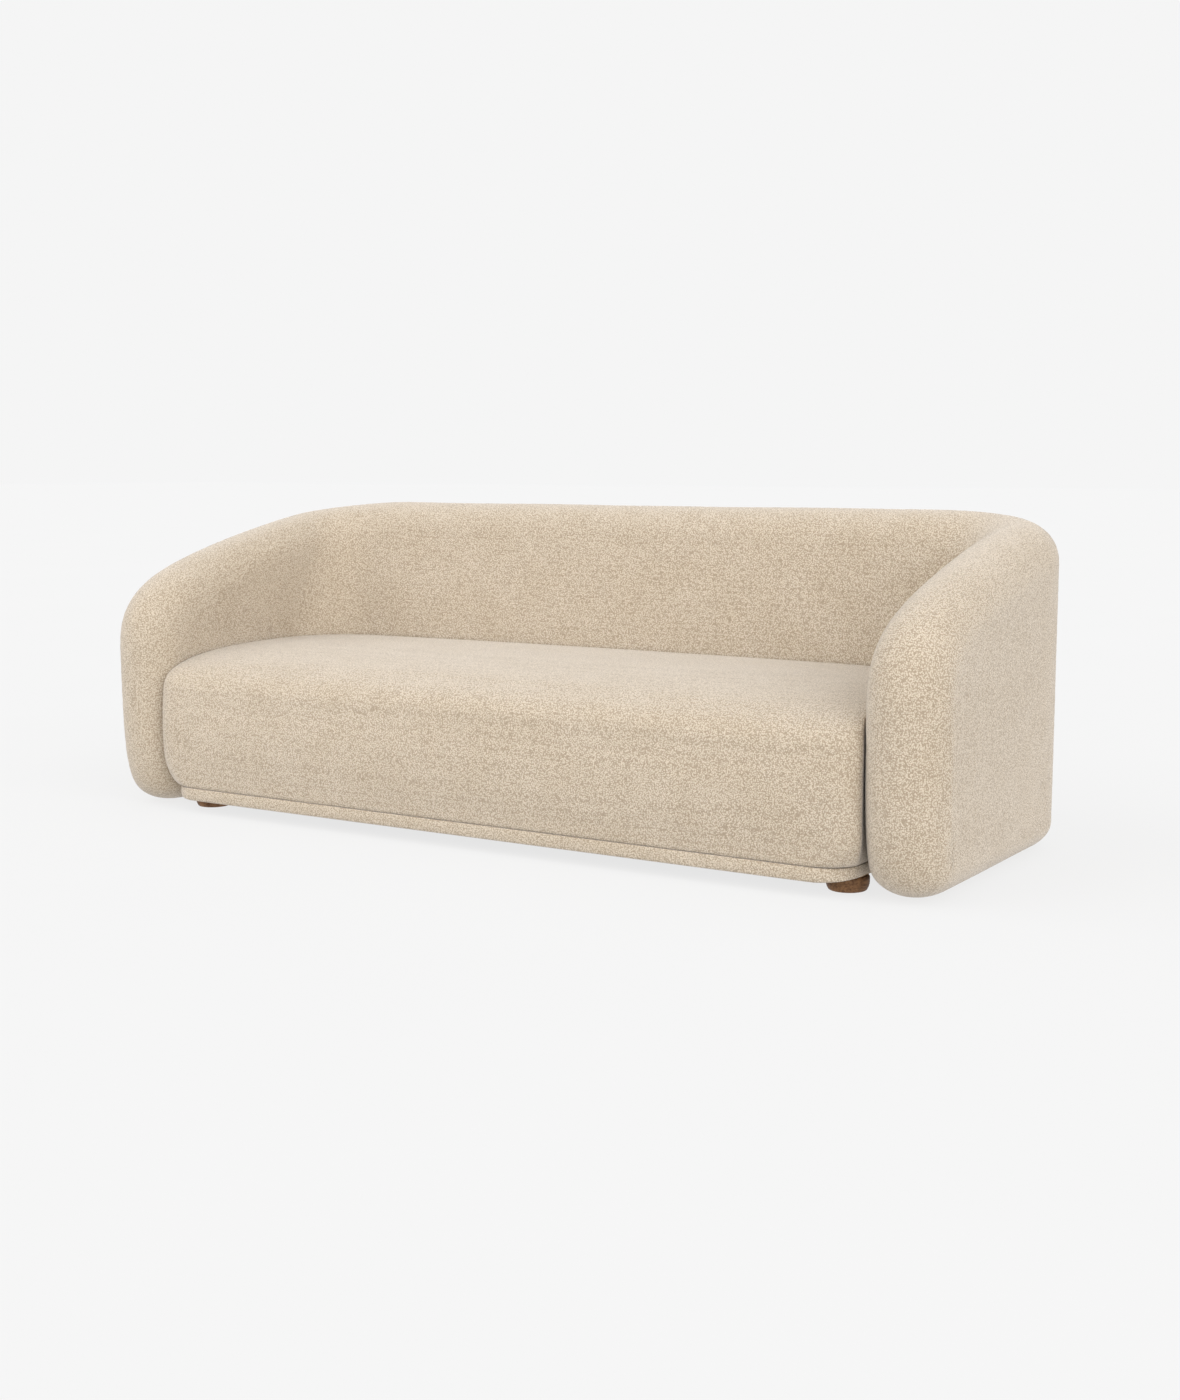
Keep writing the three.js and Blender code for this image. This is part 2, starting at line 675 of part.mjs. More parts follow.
// An upright block with rounded front corners and a square rear
function roundFrontBlock({ halfWidth, front, rear, radius }, z0, z1) {
  const shape = new THREE.Shape();
  shape.moveTo(halfWidth, rear);
  shape.lineTo(-halfWidth, rear);
  shape.absarc(-halfWidth + radius, front + radius, radius, Math.PI, 1.5 * Math.PI, false);
  shape.absarc(halfWidth - radius, front + radius, radius, 1.5 * Math.PI, 2 * Math.PI, false);
  const block = new THREE.ExtrudeGeometry(shape, { depth: z1 - z0, bevelEnabled: false, curveSegments: 8 });
  return block.translate(0, 0, z0);
}

function seatCover() {
  const opening = {
    halfWidth: BAND_HALF_WIDTH - CLOTH - 1,
    front: SEAT_FRONT + CLOTH + 6,
    rear: SEAT_REAR - CLOTH,
    radius: LOW_CORNER_RADIUS - 4,
  };
  return cut(seatSolid(0), seatSolid(CLOTH), roundFrontBlock(opening, SEAT_BOTTOM - 20, SEAT_BOTTOM + 20));
}

function seatFoam() {
  const box = boxBetween([-WIDTH, BOX_FRONT - GAP, 0], [WIDTH, DEPTH, RAIL_TOP + 15]);
  return cut(seatSolid(CLOTH + GAP), box);
}

// The band: a strip round the front and the front corners, turned under the front rail
function baseBand() {
  const outer = {
    halfWidth: BAND_HALF_WIDTH,
    front: BAND_FRONT,
    rear: BAND_REAR,
    radius: LOW_CORNER_RADIUS,
  };
  const inner = {
    halfWidth: BOX_HALF_WIDTH + 0.7,
    front: BOX_FRONT - GAP,
    rear: BAND_REAR + 10,
    radius: LOW_CORNER_RADIUS - 15,
  };
  const behindTurn = boxBetween([-WIDTH, BAND_FRONT + 40, 0], [WIDTH, 0, BAND_TOP + 10]);
  const aboveFeet = boxBetween([-WIDTH, BAND_FRONT + 50, 0], [WIDTH, 0, FOOT_TOP + GAP]);
  return cut(
    roundFrontBlock(outer, BAND_BOTTOM, BAND_TOP),
    roundFrontBlock(inner, RAIL_BOTTOM - GAP, BAND_TOP + 10),
    keepWithin(roundFrontBlock(inner, 0, BAND_TOP + 10), behindTurn),
    aboveFeet,
  );
}

// ---------- seat box ----------

const FOOT_PLACES = {
  front_left: [-FOOT_FRONT_X, FOOT_FRONT_Y],
  front_right: [FOOT_FRONT_X, FOOT_FRONT_Y],
  rear_left: [-FOOT_REAR_X, FOOT_REAR_Y],
  rear_right: [FOOT_REAR_X, FOOT_REAR_Y],
  center: [0, FOOT_CENTER_Y],
};
const BLOCK_TOP = 72;
const CLIP = 5;
const SPRING_Z = 208;
const SPRING_COUNT = 8;
const SPRING_PITCH = 218;

function cornerBlock(x, y) {
  const side = Math.sign(x);
  const outer = side * (BOX_HALF_WIDTH - BOARD - GAP);
  const inner = side * (BOX_HALF_WIDTH - BOARD - 140);
  const front = y < 0 ? BOX_FRONT + BOARD + GAP : y - 46;
  const rear = y < 0 ? y + 62 : BOX_REAR - BOARD - GAP;
  const [x0, x1] = [inner, outer].sort((a, b) => a - b);
  return drilledPlate(rectangle(x0, front, x1, rear), RAIL_BOTTOM, BLOCK_TOP, [[x, y, BOLT_RADIUS + GAP]]);
}

function centerBrace() {
  const y0 = BOX_FRONT + BOARD + GAP;
  const y1 = BOX_REAR - BOARD - GAP;
  const hole = [0, FOOT_CENTER_Y, BOLT_RADIUS + GAP];
  return drilledPlate(rectangle(-35, y0, 35, y1), RAIL_BOTTOM, BLOCK_TOP + 20, [hole]);
}

function dustCover() {
  const holes = Object.values(FOOT_PLACES).map(([x, y]) => [x, y, BOLT_RADIUS + 0.6]);
  const front = BAND_FRONT + 40 + GAP;
  const x = BOX_HALF_WIDTH - 8;
  const corners = [
    [18 - x, front],
    [x - 18, front],
    [x, BAND_FRONT + LOW_CORNER_RADIUS],
    [x, SIDE_RAIL_REAR],
    [CROSS_RAIL_HALF - 20, BOX_REAR],
    [20 - CROSS_RAIL_HALF, BOX_REAR],
    [-x, SIDE_RAIL_REAR],
    [-x, BAND_FRONT + LOW_CORNER_RADIUS],
  ];
  return drilledPlate(corners, 34.2, 35.4, holes);
}

// One zigzag spring, running from the front clip rail to the rear one
function zigzagSpring() {
  const y0 = BOX_FRONT + BOARD + CLIP + 2.5;
  const y1 = BOX_REAR - BOARD - CLIP - 2.5;
  const turns = 10;
  const points = [];
  for (let i = 0; i <= turns * 4; i += 1) {
    const t = i / (turns * 4);
    const swing = [0, 22, 22, -22, -22][i === 0 || i === turns * 4 ? 0 : 1 + ((i + 3) % 4)];
    points.push(new THREE.Vector3(swing, lerp(y0, y1, t), SPRING_Z + 9 * Math.sin(Math.PI * t)));
  }
  const wire = new THREE.Shape([
    new THREE.Vector2(-2, -2),
    new THREE.Vector2(2, -2),
    new THREE.Vector2(2, 2),
    new THREE.Vector2(-2, 2),
  ]);
  const path = new THREE.CatmullRomCurve3(points, false, "chordal");
  return new THREE.ExtrudeGeometry(wire, { steps: 44, extrudePath: path, bevelEnabled: false });
}

function clipRail(y0) {
  const half = CROSS_RAIL_HALF - 10;
  return boxBetween([-half, y0, SPRING_Z - 14], [half, y0 + CLIP, SPRING_Z + 6]);
}

// ---------- feet ----------

function foot() {
  return turned([
    [0, GLIDE_HEIGHT + GAP],
    [41.5, GLIDE_HEIGHT + GAP],
    [44.5, 4.5],
    [FOOT_RADIUS, 10],
    [FOOT_RADIUS, 28],
    [43.5, FOOT_TOP],
    [BOLT_RADIUS + GAP, FOOT_TOP],
    [BOLT_RADIUS + GAP, 11],
    [0, 11],
  ], 28);
}

function footGlide() {
  return turned([[0, 0], [21, 0], [22, 0.6], [22, GLIDE_HEIGHT], [0, GLIDE_HEIGHT]], 20);
}

function hangerBolt() {
  return turned([[0, 11.5], [BOLT_RADIUS, 11.5], [BOLT_RADIUS, BLOCK_TOP - 4], [0, BLOCK_TOP]], 12);
}

function backLeveller() {
  return turned([
    [0, 0],
    [13, 0],
    [14, 1],
    [14, 4],
    [8, 6],
    [8, FRAME_BOTTOM - GAP],
    [0, FRAME_BOTTOM - GAP],
  ], 16);
}

// ---------- assembly ----------

const FINISHES = {
  fabric: { color: 0xcdb997, roughness: 0.95, metalness: 0 },
  foam: { color: 0xe6dcc0, roughness: 0.95, metalness: 0 },
  walnut: { color: 0x5b4129, roughness: 0.45, metalness: 0 },
  pine: { color: 0xc9a878, roughness: 0.75, metalness: 0 },
  plywood: { color: 0xbf9d6e, roughness: 0.75, metalness: 0 },
  steel: { color: 0x8c8c8c, roughness: 0.4, metalness: 1 },
  plastic: { color: 0x2a2a2a, roughness: 0.6, metalness: 0 },
  lining: { color: 0x1d1d1d, roughness: 0.95, metalness: 0 },
  webbing: { color: 0x9c8a6a, roughness: 0.9, metalness: 0 },
};

const sofa = new THREE.Group();
sofa.name = "sofa";

function place(name, geometry, finish, position = [0, 0, 0]) {
  const mesh = new THREE.Mesh(geometry, new THREE.MeshStandardMaterial(FINISHES[finish]));
  mesh.name = name;
  mesh.position.set(...position);
  sofa.add(mesh);
}

for (const [name, [x, y]] of Object.entries(FOOT_PLACES)) {
  place(`foot_${name}`, foot(), "walnut", [x, y, 0]);
  place(`foot_glide_${name}`, footGlide(), "plastic", [x, y, 0]);
  place(`foot_bolt_${name}`, hangerBolt(), "steel", [x, y, 0]);
  if (x !== 0) place(`corner_block_${name}`, cornerBlock(x, y), "pine");
}

place("base_band", baseBand(), "fabric");
place("dust_cover", dustCover(), "lining");

place(
  "seat_front_rail",
  boxBetween([-CROSS_RAIL_HALF, BOX_FRONT, RAIL_BOTTOM], [CROSS_RAIL_HALF, BOX_FRONT + BOARD, RAIL_TOP]),
  "plywood",
);
place(
  "seat_rear_rail",
  boxBetween([-CROSS_RAIL_HALF, BOX_REAR - BOARD, RAIL_BOTTOM], [CROSS_RAIL_HALF, BOX_REAR, RAIL_TOP]),
  "plywood",
);
place("seat_center_brace", centerBrace(), "pine");
place("spring_clip_rail_front", clipRail(BOX_FRONT + BOARD + GAP), "plastic");
place("spring_clip_rail_rear", clipRail(BOX_REAR - BOARD - GAP - CLIP), "plastic");
for (let i = 0; i < SPRING_COUNT; i += 1) {
  const x = (i - (SPRING_COUNT - 1) / 2) * SPRING_PITCH;
  place(`seat_spring_${i + 1}`, zigzagSpring(), "steel", [x, 0, 0]);
}
place(
  "deck_felt",
  boxBetween([-CROSS_RAIL_HALF, BOX_FRONT + 1, RAIL_TOP + 7], [CROSS_RAIL_HALF, BOX_REAR, RAIL_TOP + 14]),
  "lining",
);
place("seat_foam", seatFoam(), "foam");
place("seat_cover", seatCover(), "fabric");

for (const [label, side] of [["left", -1], ["right", 1]]) {
  const inner = BOX_HALF_WIDTH - BOARD;
  const outer = BOX_HALF_WIDTH;
  const rail = sideBox(side, [inner, SIDE_RAIL_FRONT, RAIL_BOTTOM], [outer, SIDE_RAIL_REAR, RAIL_TOP]);
  place(`seat_side_rail_${label}`, rail, "plywood");
  place(`arm_panel_${label}`, armPanel(side), "plywood");
  place(`arm_front_post_${label}`, armFrontPost(side), "pine");
  place(`back_corner_post_${label}`, backCornerPost(side), "pine");
  place(`back_leveller_${label}`, backLeveller(), "plastic", [side * 880, MID_REAR, 0]);
}

place("back_top_rail", backBoard([-BACK_FRAME_X, BACK_FRAME_X], TOP_RAIL_Z), "pine");
place("back_bottom_rail", backBoard([-BACK_FRAME_X, BACK_FRAME_X], [FRAME_BOTTOM, BOTTOM_RAIL_TOP]), "pine");
place("back_upright_left", backUpright(-480), "pine");
place("back_upright_middle", backUpright(0), "pine");
place("back_upright_right", backUpright(480), "pine");
place("back_webbing", backWebbing(), "webbing");

const padding = cut(wrapSolid(CLOTH + GAP), ...frameRooms());
const armInnerX = WIDTH / 2 - WALL;
const armRegion = (side, grow) =>
  sideBox(
    side,
    [armInnerX - grow, -DEPTH, FLOOR_CLEAR - 10],
    [WIDTH, CORNER_Y + grow, HEIGHT + 50],
  );
place("arm_foam_left", keepWithin(padding, armRegion(-1, 0)), "foam");
place("arm_foam_right", keepWithin(padding, armRegion(1, 0)), "foam");
place("back_foam", cut(padding, armRegion(-1, GAP), armRegion(1, GAP)), "foam");

const slot = pathStrip(34, 120, FLOOR_CLEAR, WRAP_BOTTOM + 25);
place("wrap_cover", cut(wrapSolid(0), wrapSolid(CLOTH), slot), "fabric");

export default sofa;
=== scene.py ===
# The looks of a long sofa in looped wool fabric: one padded wall bends round a bench seat as arms and
# back, over a narrow base band and small turned walnut feet. Metres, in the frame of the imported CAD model.
import math

import bpy
import numpy as np
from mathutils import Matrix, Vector, kdtree, noise


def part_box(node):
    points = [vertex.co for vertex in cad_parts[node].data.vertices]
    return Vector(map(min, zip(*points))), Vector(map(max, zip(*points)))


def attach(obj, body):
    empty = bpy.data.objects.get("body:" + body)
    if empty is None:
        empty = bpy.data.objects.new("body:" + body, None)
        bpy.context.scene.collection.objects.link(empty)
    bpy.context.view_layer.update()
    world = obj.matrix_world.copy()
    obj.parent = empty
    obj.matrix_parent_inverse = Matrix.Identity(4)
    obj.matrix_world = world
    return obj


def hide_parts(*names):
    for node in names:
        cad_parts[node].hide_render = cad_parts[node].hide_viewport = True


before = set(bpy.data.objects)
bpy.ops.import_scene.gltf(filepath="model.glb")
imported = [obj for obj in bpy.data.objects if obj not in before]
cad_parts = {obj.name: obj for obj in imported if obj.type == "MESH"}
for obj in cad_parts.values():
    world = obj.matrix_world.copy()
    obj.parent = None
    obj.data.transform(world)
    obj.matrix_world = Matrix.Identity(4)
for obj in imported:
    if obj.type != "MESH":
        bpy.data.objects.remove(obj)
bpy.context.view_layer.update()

# ---------- driving sizes ----------

WRAP_LOW, WRAP_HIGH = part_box("wrap_cover")
SEAT_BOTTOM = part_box("seat_cover")[0].z
BAND_LOW, BAND_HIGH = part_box("base_band")

WIDTH = WRAP_HIGH.x - WRAP_LOW.x
DEPTH = WRAP_HIGH.y - WRAP_LOW.y
HEIGHT = WRAP_HIGH.z
WRAP_BOTTOM = 0.003

# The wall that makes the arms and the back
WALL = 0.181
PLAN_RADIUS = 0.247
TOP_ROUNDING = 0.089
BOTTOM_ROUNDING = 0.065
ARM_TOE_CURVE = [(0.152, WRAP_BOTTOM), (0.014, WRAP_BOTTOM), (0, 0.064), (0, 0.385)]
ARM_TOP_CURVE = [(0, 0.397), (0, 0.675), (0.287, 0.600), (0.537, HEIGHT), (1.027, HEIGHT)]
TOE_SPLIT = 0.5
FRONT_SPLIT = 0.233

# The back's sitting face leans, so its wall is thicker at seat level than at the top
BACK_THICKENING = 0.075
INNER_RADIUS = 0.100
INNER_RADIUS_GAIN = 0.070
LEAN_TOP = 0.687
LEAN_SOFTNESS = 0.08

# The bench seat
SEAT_HEIGHT = 0.407
SEAT_CROWN = 0.005
SEAT_HALF_WIDTH = 0.943
SEAT_FRONT = -0.442
SEAT_REAR = 0.199
SEAT_SHOULDER = 0.296
SEAT_BULGE = 0.013
SEAT_FRONT_SLOPE = 0.427
SEAT_FRONT_SOFTNESS = 1.6
SEAT_SHOULDER_SHARE = 0.14
SEAT_SIDE_SWELL = 0.007
SEAT_SIDE_ROUNDING = 0.005
SEAT_REAR_ROUNDING = 0.005
SEAT_FRONT_WIDENING = 0.011
SEAT_CORNER = np.array([0.060, 0.030])
SEAT_REAR_RADIUS = 0.167
LOW_CORNER_HEIGHT = 0.085
LOW_CORNER_INSET = 0.008
LOW_CORNER_RADIUS = 0.080
SEAT_TUCK = 0.0030

# Cloth and padding
CLOTH = 0.003
SKIN_INSET = 0.002
NUB = 0.0034
WRAP_STEP = 0.0086
SEAT_STEP = 0.0095
WRAP_SKIN_STEP = 0.030
SEAT_SKIN_STEP = 0.026
WRAP_SWELL = 0.003
SEAT_SWELL = 0.004
FOAM_INSET = 0.009
FOLD_DEPTH = 0.0011
FOLD_SPACING = 0.024

# The cloth simulation: how firmly even the loosest points are held, and how far a point may sink
LOOSEST_HOLD = 0.03
DEEPEST_DENT = 0.001
STUFFING_FRAMES = 20
CLOTH_SETTINGS = {
    "quality": 4,
    "mass": 0.4,
    "tension_stiffness": 40,
    "compression_stiffness": 30,
    "shear_stiffness": 15,
    "bending_stiffness": 2,
    "use_pressure": True,
    "uniform_pressure_force": 4,
    "vertex_group_mass": "held",
    "pin_stiffness": 1,
}

HALF_WALL = WALL / 2
MID_X = WIDTH / 2 - HALF_WALL
MID_REAR = DEPTH / 2 - HALF_WALL
MID_RADIUS = PLAN_RADIUS - HALF_WALL
CORNER_Y = MID_REAR - MID_RADIUS
ARM_RUN = CORNER_Y + DEPTH / 2
CORNER_RUN = MID_RADIUS * math.pi / 2
BACK_RUN = 2 * (MID_X - MID_RADIUS)
PATH_LENGTH = 2 * (ARM_RUN + CORNER_RUN) + BACK_RUN


# ---------- meshes ----------


def new_piece(name, points, faces, material, smooth=True):
    """A mesh object from arrays of points and quads or triangles, its faces turned outwards."""
    mesh = bpy.data.meshes.new(name)
    mesh.from_pydata([tuple(p) for p in points], [], [tuple(f) for f in faces])
    mesh.validate()
    if signed_volume(mesh) < 0:
        mesh.flip_normals()
    mesh.polygons.foreach_set("use_smooth", [smooth] * len(mesh.polygons))
    if material:
        mesh.materials.append(material)
    piece = bpy.data.objects.new(name, mesh)
    bpy.context.scene.collection.objects.link(piece)
    return piece


def signed_volume(mesh):
    """Six times the volume a mesh's faces enclose: negative where they face inwards."""
    mesh.calc_loop_triangles()
    points = coordinates(mesh)
    corners = np.empty(3 * len(mesh.loop_triangles), dtype=np.int32)
    mesh.loop_triangles.foreach_get("vertices", corners)
    a, b, c = (points[corners[i::3]] for i in range(3))
    return float(np.sum(a * np.cross(b, c)))


def coordinates(mesh):
    """The place of each point of a mesh."""
    flat = np.empty(3 * len(mesh.vertices))
    mesh.vertices.foreach_get("co", flat)
    return flat.reshape(-1, 3)


def outward(mesh):
    """The normal at each point of a mesh."""
    flat = np.empty(3 * len(mesh.vertices))
    mesh.vertices.foreach_get("normal", flat)
    return flat.reshape(-1, 3)


def move_points(piece, shift):
    """Adds a shift to every point of a piece's mesh."""
    piece.data.vertices.foreach_set("co", (coordinates(piece.data) + shift).ravel())
    piece.data.update()


def apply_modifiers(piece):
    """Bakes a piece's modifiers into its mesh."""
    graph = bpy.context.evaluated_depsgraph_get()
    baked = bpy.data.meshes.new_from_object(piece.evaluated_get(graph))
    piece.modifiers.clear()
    old, piece.data = piece.data, baked
    bpy.data.meshes.remove(old)


def shaped(value, low, high):
    """0 below low, 1 above high and a smooth rise between, for arrays."""
    t = np.clip((value - low) / (high - low), 0, 1)
    return t * t * (3 - 2 * t)


def waves(points, wavelength, seed):
    """Smooth noise between about -1 and 1 at each point."""
    offset = Vector((seed * 7.3, seed * 3.1, seed * 5.7))
    return np.array([noise.noise(Vector(p) / wavelength + offset) for p in points])


def resampled(edge, count):
    """count + 1 evenly spaced rows along an edge whose first two columns are its place."""
    steps = np.hypot(np.diff(edge[:, 0]), np.diff(edge[:, 1]))
    along = np.concatenate([[0], np.cumsum(steps)])
    targets = np.linspace(0, along[-1], count + 1)
    return np.stack([np.interp(targets, along, column) for column in edge.T], axis=1)


def patch_points(bottom, right, top, left):
    """A grid of places filled in evenly between four edges: [column, row, place]."""
    u = np.linspace(0, 1, len(bottom))[:, None, None]
    v = np.linspace(0, 1, len(left))[None, :, None]
    across = (1 - v) * bottom[:, None] + v * top[:, None]
    up = (1 - u) * left[None] + u * right[None]
    low = (1 - u) * bottom[0] + u * bottom[-1]
    high = (1 - u) * top[0] + u * top[-1]
    return across + up - ((1 - v) * low + v * high)


def loop_of(bottom, right, top, left):
    """The four edges of a patch as one closed row of points."""
    return np.concatenate([bottom[:-1], right[:-1], top[:0:-1], left[:0:-1]])


def patch_ids(columns, rows, rim_start, inner_start):
    """Point numbers of a patch whose rim is a loop and whose inner points come after it."""
    ids = np.empty((columns + 1, rows + 1), dtype=int)
    ids[1:-1, 1:-1] = inner_start + np.arange((columns - 1) * (rows - 1)).reshape(columns - 1, rows - 1)
    ids[:, 0] = rim_start + np.arange(columns + 1)
    ids[-1, :] = rim_start + columns + np.arange(rows + 1)
    ids[::-1, -1] = rim_start + columns + rows + np.arange(columns + 1)
    ids[0, :0:-1] = rim_start + 2 * columns + rows + np.arange(rows)
    ids[0, 0] = rim_start
    return ids


def quads_of(ids):
    """Quads over a grid of point numbers."""
    corners = [ids[:-1, :-1], ids[1:, :-1], ids[1:, 1:], ids[:-1, 1:]]
    return np.stack([c.ravel() for c in corners], axis=1)


def ring_quads(rings):
    """Quads between each closed row of point numbers and the next."""
    closed = np.concatenate([rings, rings[:, :1]], axis=1)
    return quads_of(closed)


def closed_sweep(stations):
    """Points, side quads and two end faces of closed outlines placed one after another."""
    count, size = stations.shape[:2]
    ids = np.arange(count * size).reshape(count, size)
    faces = [tuple(q) for q in ring_quads(ids)]
    faces += [tuple(ids[0][::-1]), tuple(ids[-1])]
    return stations.reshape(-1, 3), faces


def turned(name, profile, centre, material, segments=96):
    """A solid of revolution about an upright axis: rows of (radius, height), from axis to axis."""
    x, y = centre
    angles = np.arange(segments) * 2 * math.pi / segments
    body = np.array(profile[1:-1])
    circles = np.stack(
        [
            x + body[:, :1] * np.cos(angles),
            y + body[:, :1] * np.sin(angles),
            np.repeat(body[:, 1:], segments, axis=1),
        ],
        axis=-1,
    )
    ids = np.arange(len(body) * segments).reshape(len(body), segments)
    faces = [tuple(q) for q in ring_quads(ids)]
    points = np.concatenate([circles.reshape(-1, 3), [[x, y, profile[0][1]], [x, y, profile[-1][1]]]])
    low, high = len(points) - 2, len(points) - 1
    for i in range(segments):
        after = (i + 1) % segments
        faces += [(low, ids[0][after], ids[0][i]), (high, ids[-1][i], ids[-1][after])]
    return new_piece(name, points, faces, material)


# ---------- the wrap's shape ----------


def middle_line(run):
    """Place and outward direction of the wall's middle line in plan."""
    mirrored = run > PATH_LENGTH / 2
    s = np.where(mirrored, PATH_LENGTH - run, run)
    flip = np.where(mirrored, -1.0, 1.0)
    turn = np.clip((s - ARM_RUN) / MID_RADIUS, 0, math.pi / 2)
    x = -MID_X + MID_RADIUS * (1 - np.cos(turn)) + np.maximum(0, s - ARM_RUN - CORNER_RUN)
    y = CORNER_Y + MID_RADIUS * np.sin(turn) + np.minimum(0, s - ARM_RUN)
    direction = np.stack([-np.cos(turn) * flip, np.sin(turn)], axis=-1)
    return np.stack([x * flip, y], axis=-1), direction


def thickening(z):
    """How much thicker the back's wall is at a height."""
    t = (LEAN_TOP - z) / (LEAN_TOP - SEAT_HEIGHT)
    soft = (t + np.sqrt(t * t + 4 * LEAN_SOFTNESS**2)) / 2
    return BACK_THICKENING * np.minimum(1, soft)


def sitting_line(run, z):
    """The sitting side's place in plan that faces the middle line at a run and height."""
    mirrored = run > PATH_LENGTH / 2
    s = np.where(mirrored, PATH_LENGTH - run, run)
    extra = thickening(z)
    radius = INNER_RADIUS + INNER_RADIUS_GAIN * extra / BACK_THICKENING
    arm_x = -(WIDTH / 2 - WALL)
    back_y = DEPTH / 2 - WALL - extra
    turn = np.clip((s - ARM_RUN) / CORNER_RUN, 0, 1) * math.pi / 2
    along = np.clip((s - ARM_RUN - CORNER_RUN) / (BACK_RUN / 2), 0, 1)
    shift = (back_y - radius - CORNER_Y) * shaped(s, ARM_RUN * 0.4, ARM_RUN)
    on_arm = s < ARM_RUN
    x = np.where(on_arm, arm_x, (arm_x + radius) * (1 - along) - radius * np.cos(turn))
    y = np.where(on_arm, s - DEPTH / 2 + shift, back_y - radius + radius * np.sin(turn))
    return np.stack([np.where(mirrored, -x, x), y], axis=-1)


def wrap_place(run, z, across, inset):
    """Places in the wall: across is -1 on the sitting side, 0 in the middle and 1 outside."""
    middle, direction = middle_line(run)
    if across >= 0:
        plan = middle + direction * ((HALF_WALL - inset) * across)
    else:
        sitting = sitting_line(run, z)
        full = np.linalg.norm(sitting - middle, axis=-1, keepdims=True)
        plan = middle + (sitting - middle) * (-across * (1 - inset / full))
    return np.concatenate([plan, z[..., None]], axis=-1)


def curve_at(points, t):
    """Places on a Bezier curve at an array of parameters."""
    level = [np.outer(np.ones_like(t), p) for p in points]
    while len(level) > 1:
        level = [a + (b - a) * t[:, None] for a, b in zip(level, level[1:])]
    return level[0]


def edge_rows(curve, t):
    """Rows of (run, height, inward run, inward height) on a curve of the unrolled wall's edge."""
    places = curve_at(curve, t)
    ahead = curve_at(curve, np.minimum(1, t + 1e-4)) - curve_at(curve, np.maximum(0, t - 1e-4))
    ahead /= np.linalg.norm(ahead, axis=1, keepdims=True)
    return np.stack([places[:, 0], places[:, 1], ahead[:, 1], -ahead[:, 0]], axis=1)


def mirrored_edge(edge):
    """The other arm's copy of an edge."""
    return edge * [-1, 1, -1, 1] + [PATH_LENGTH, 0, 0, 0]


def wrap_edges(columns, rows):
    """The unrolled wall's bottom, right, top and left edges."""
    level = np.array([[PATH_LENGTH / 2, WRAP_BOTTOM, 0, 1]])
    bottom = np.concatenate([edge_rows(ARM_TOE_CURVE, np.linspace(TOE_SPLIT, 0, 60)), level])
    ridge = np.array([[PATH_LENGTH / 2, HEIGHT, 0, -1]])
    top = np.concatenate([edge_rows(ARM_TOP_CURVE, np.linspace(FRONT_SPLIT, 1, 300)), ridge])
    toe = edge_rows(ARM_TOE_CURVE, np.linspace(TOE_SPLIT, 1, 80))
    left = np.concatenate([toe, edge_rows(ARM_TOP_CURVE, np.linspace(0, FRONT_SPLIT, 100))])
    bottom, top = (resampled(half, columns // 2) for half in (bottom, top))
    bottom, top = (np.concatenate([half, mirrored_edge(half)[-2::-1]]) for half in (bottom, top))
    left = resampled(left, rows)
    return bottom, mirrored_edge(left), top, left


def moved_in(edge, inset, turn):
    """An edge moved inwards by a rounding that is larger on top than underneath."""
    upward = np.maximum(0, edge[:, 3]) ** 2
    rounding = TOP_ROUNDING + (BOTTOM_ROUNDING - TOP_ROUNDING) * upward
    depth = inset + (rounding - inset) * (1 - math.cos(turn))
    return edge[:, :2] + edge[:, 2:] * depth[:, None]


def wrap_surface(step, inset):
    """Points and quads of the whole padded wall, about one step apart."""
    columns = 2 * round(PATH_LENGTH / 2 / step)
    rows = round(0.575 / step)
    rings = round(TOP_ROUNDING * 1.57 / step)
    edges = wrap_edges(columns, rows)
    loop = loop_of(*(moved_in(edge, inset, 0) for edge in edges))
    size = len(loop)
    points = [wrap_place(loop[:, 0], loop[:, 1], 0, inset)]
    faces = []
    total = size
    for side in (1, -1):
        ids = [np.arange(size)]
        for k in range(1, rings + 1):
            turn = k / rings * math.pi / 2
            sides = [moved_in(edge, inset, turn) for edge in edges]
            ring = loop_of(*sides)
            points.append(wrap_place(ring[:, 0], ring[:, 1], side * math.sin(turn), inset))
            ids.append(total + np.arange(size))
            total += size
        inner = patch_points(*sides)[1:-1, 1:-1].reshape(-1, 2)
        points.append(wrap_place(inner[:, 0], inner[:, 1], side, inset))
        grid = patch_ids(columns, rows, ids[-1][0], total)
        total += len(inner)
        made = np.concatenate([ring_quads(np.array(ids)), quads_of(grid)[:, ::-1]])
        faces.append(made if side > 0 else made[:, ::-1])
    return np.concatenate(points), np.concatenate(faces)


# ---------- the seat's shape ----------


def reach_beside(side, y):
    """How far out the seat may reach at a depth, beside an arm whose nose curves away in front."""
    ahead = np.clip((TOP_ROUNDING - DEPTH / 2 - y) / TOP_ROUNDING, 0, 1)
    return side + HALF_WALL * (1 - np.sqrt(1 - ahead**2))


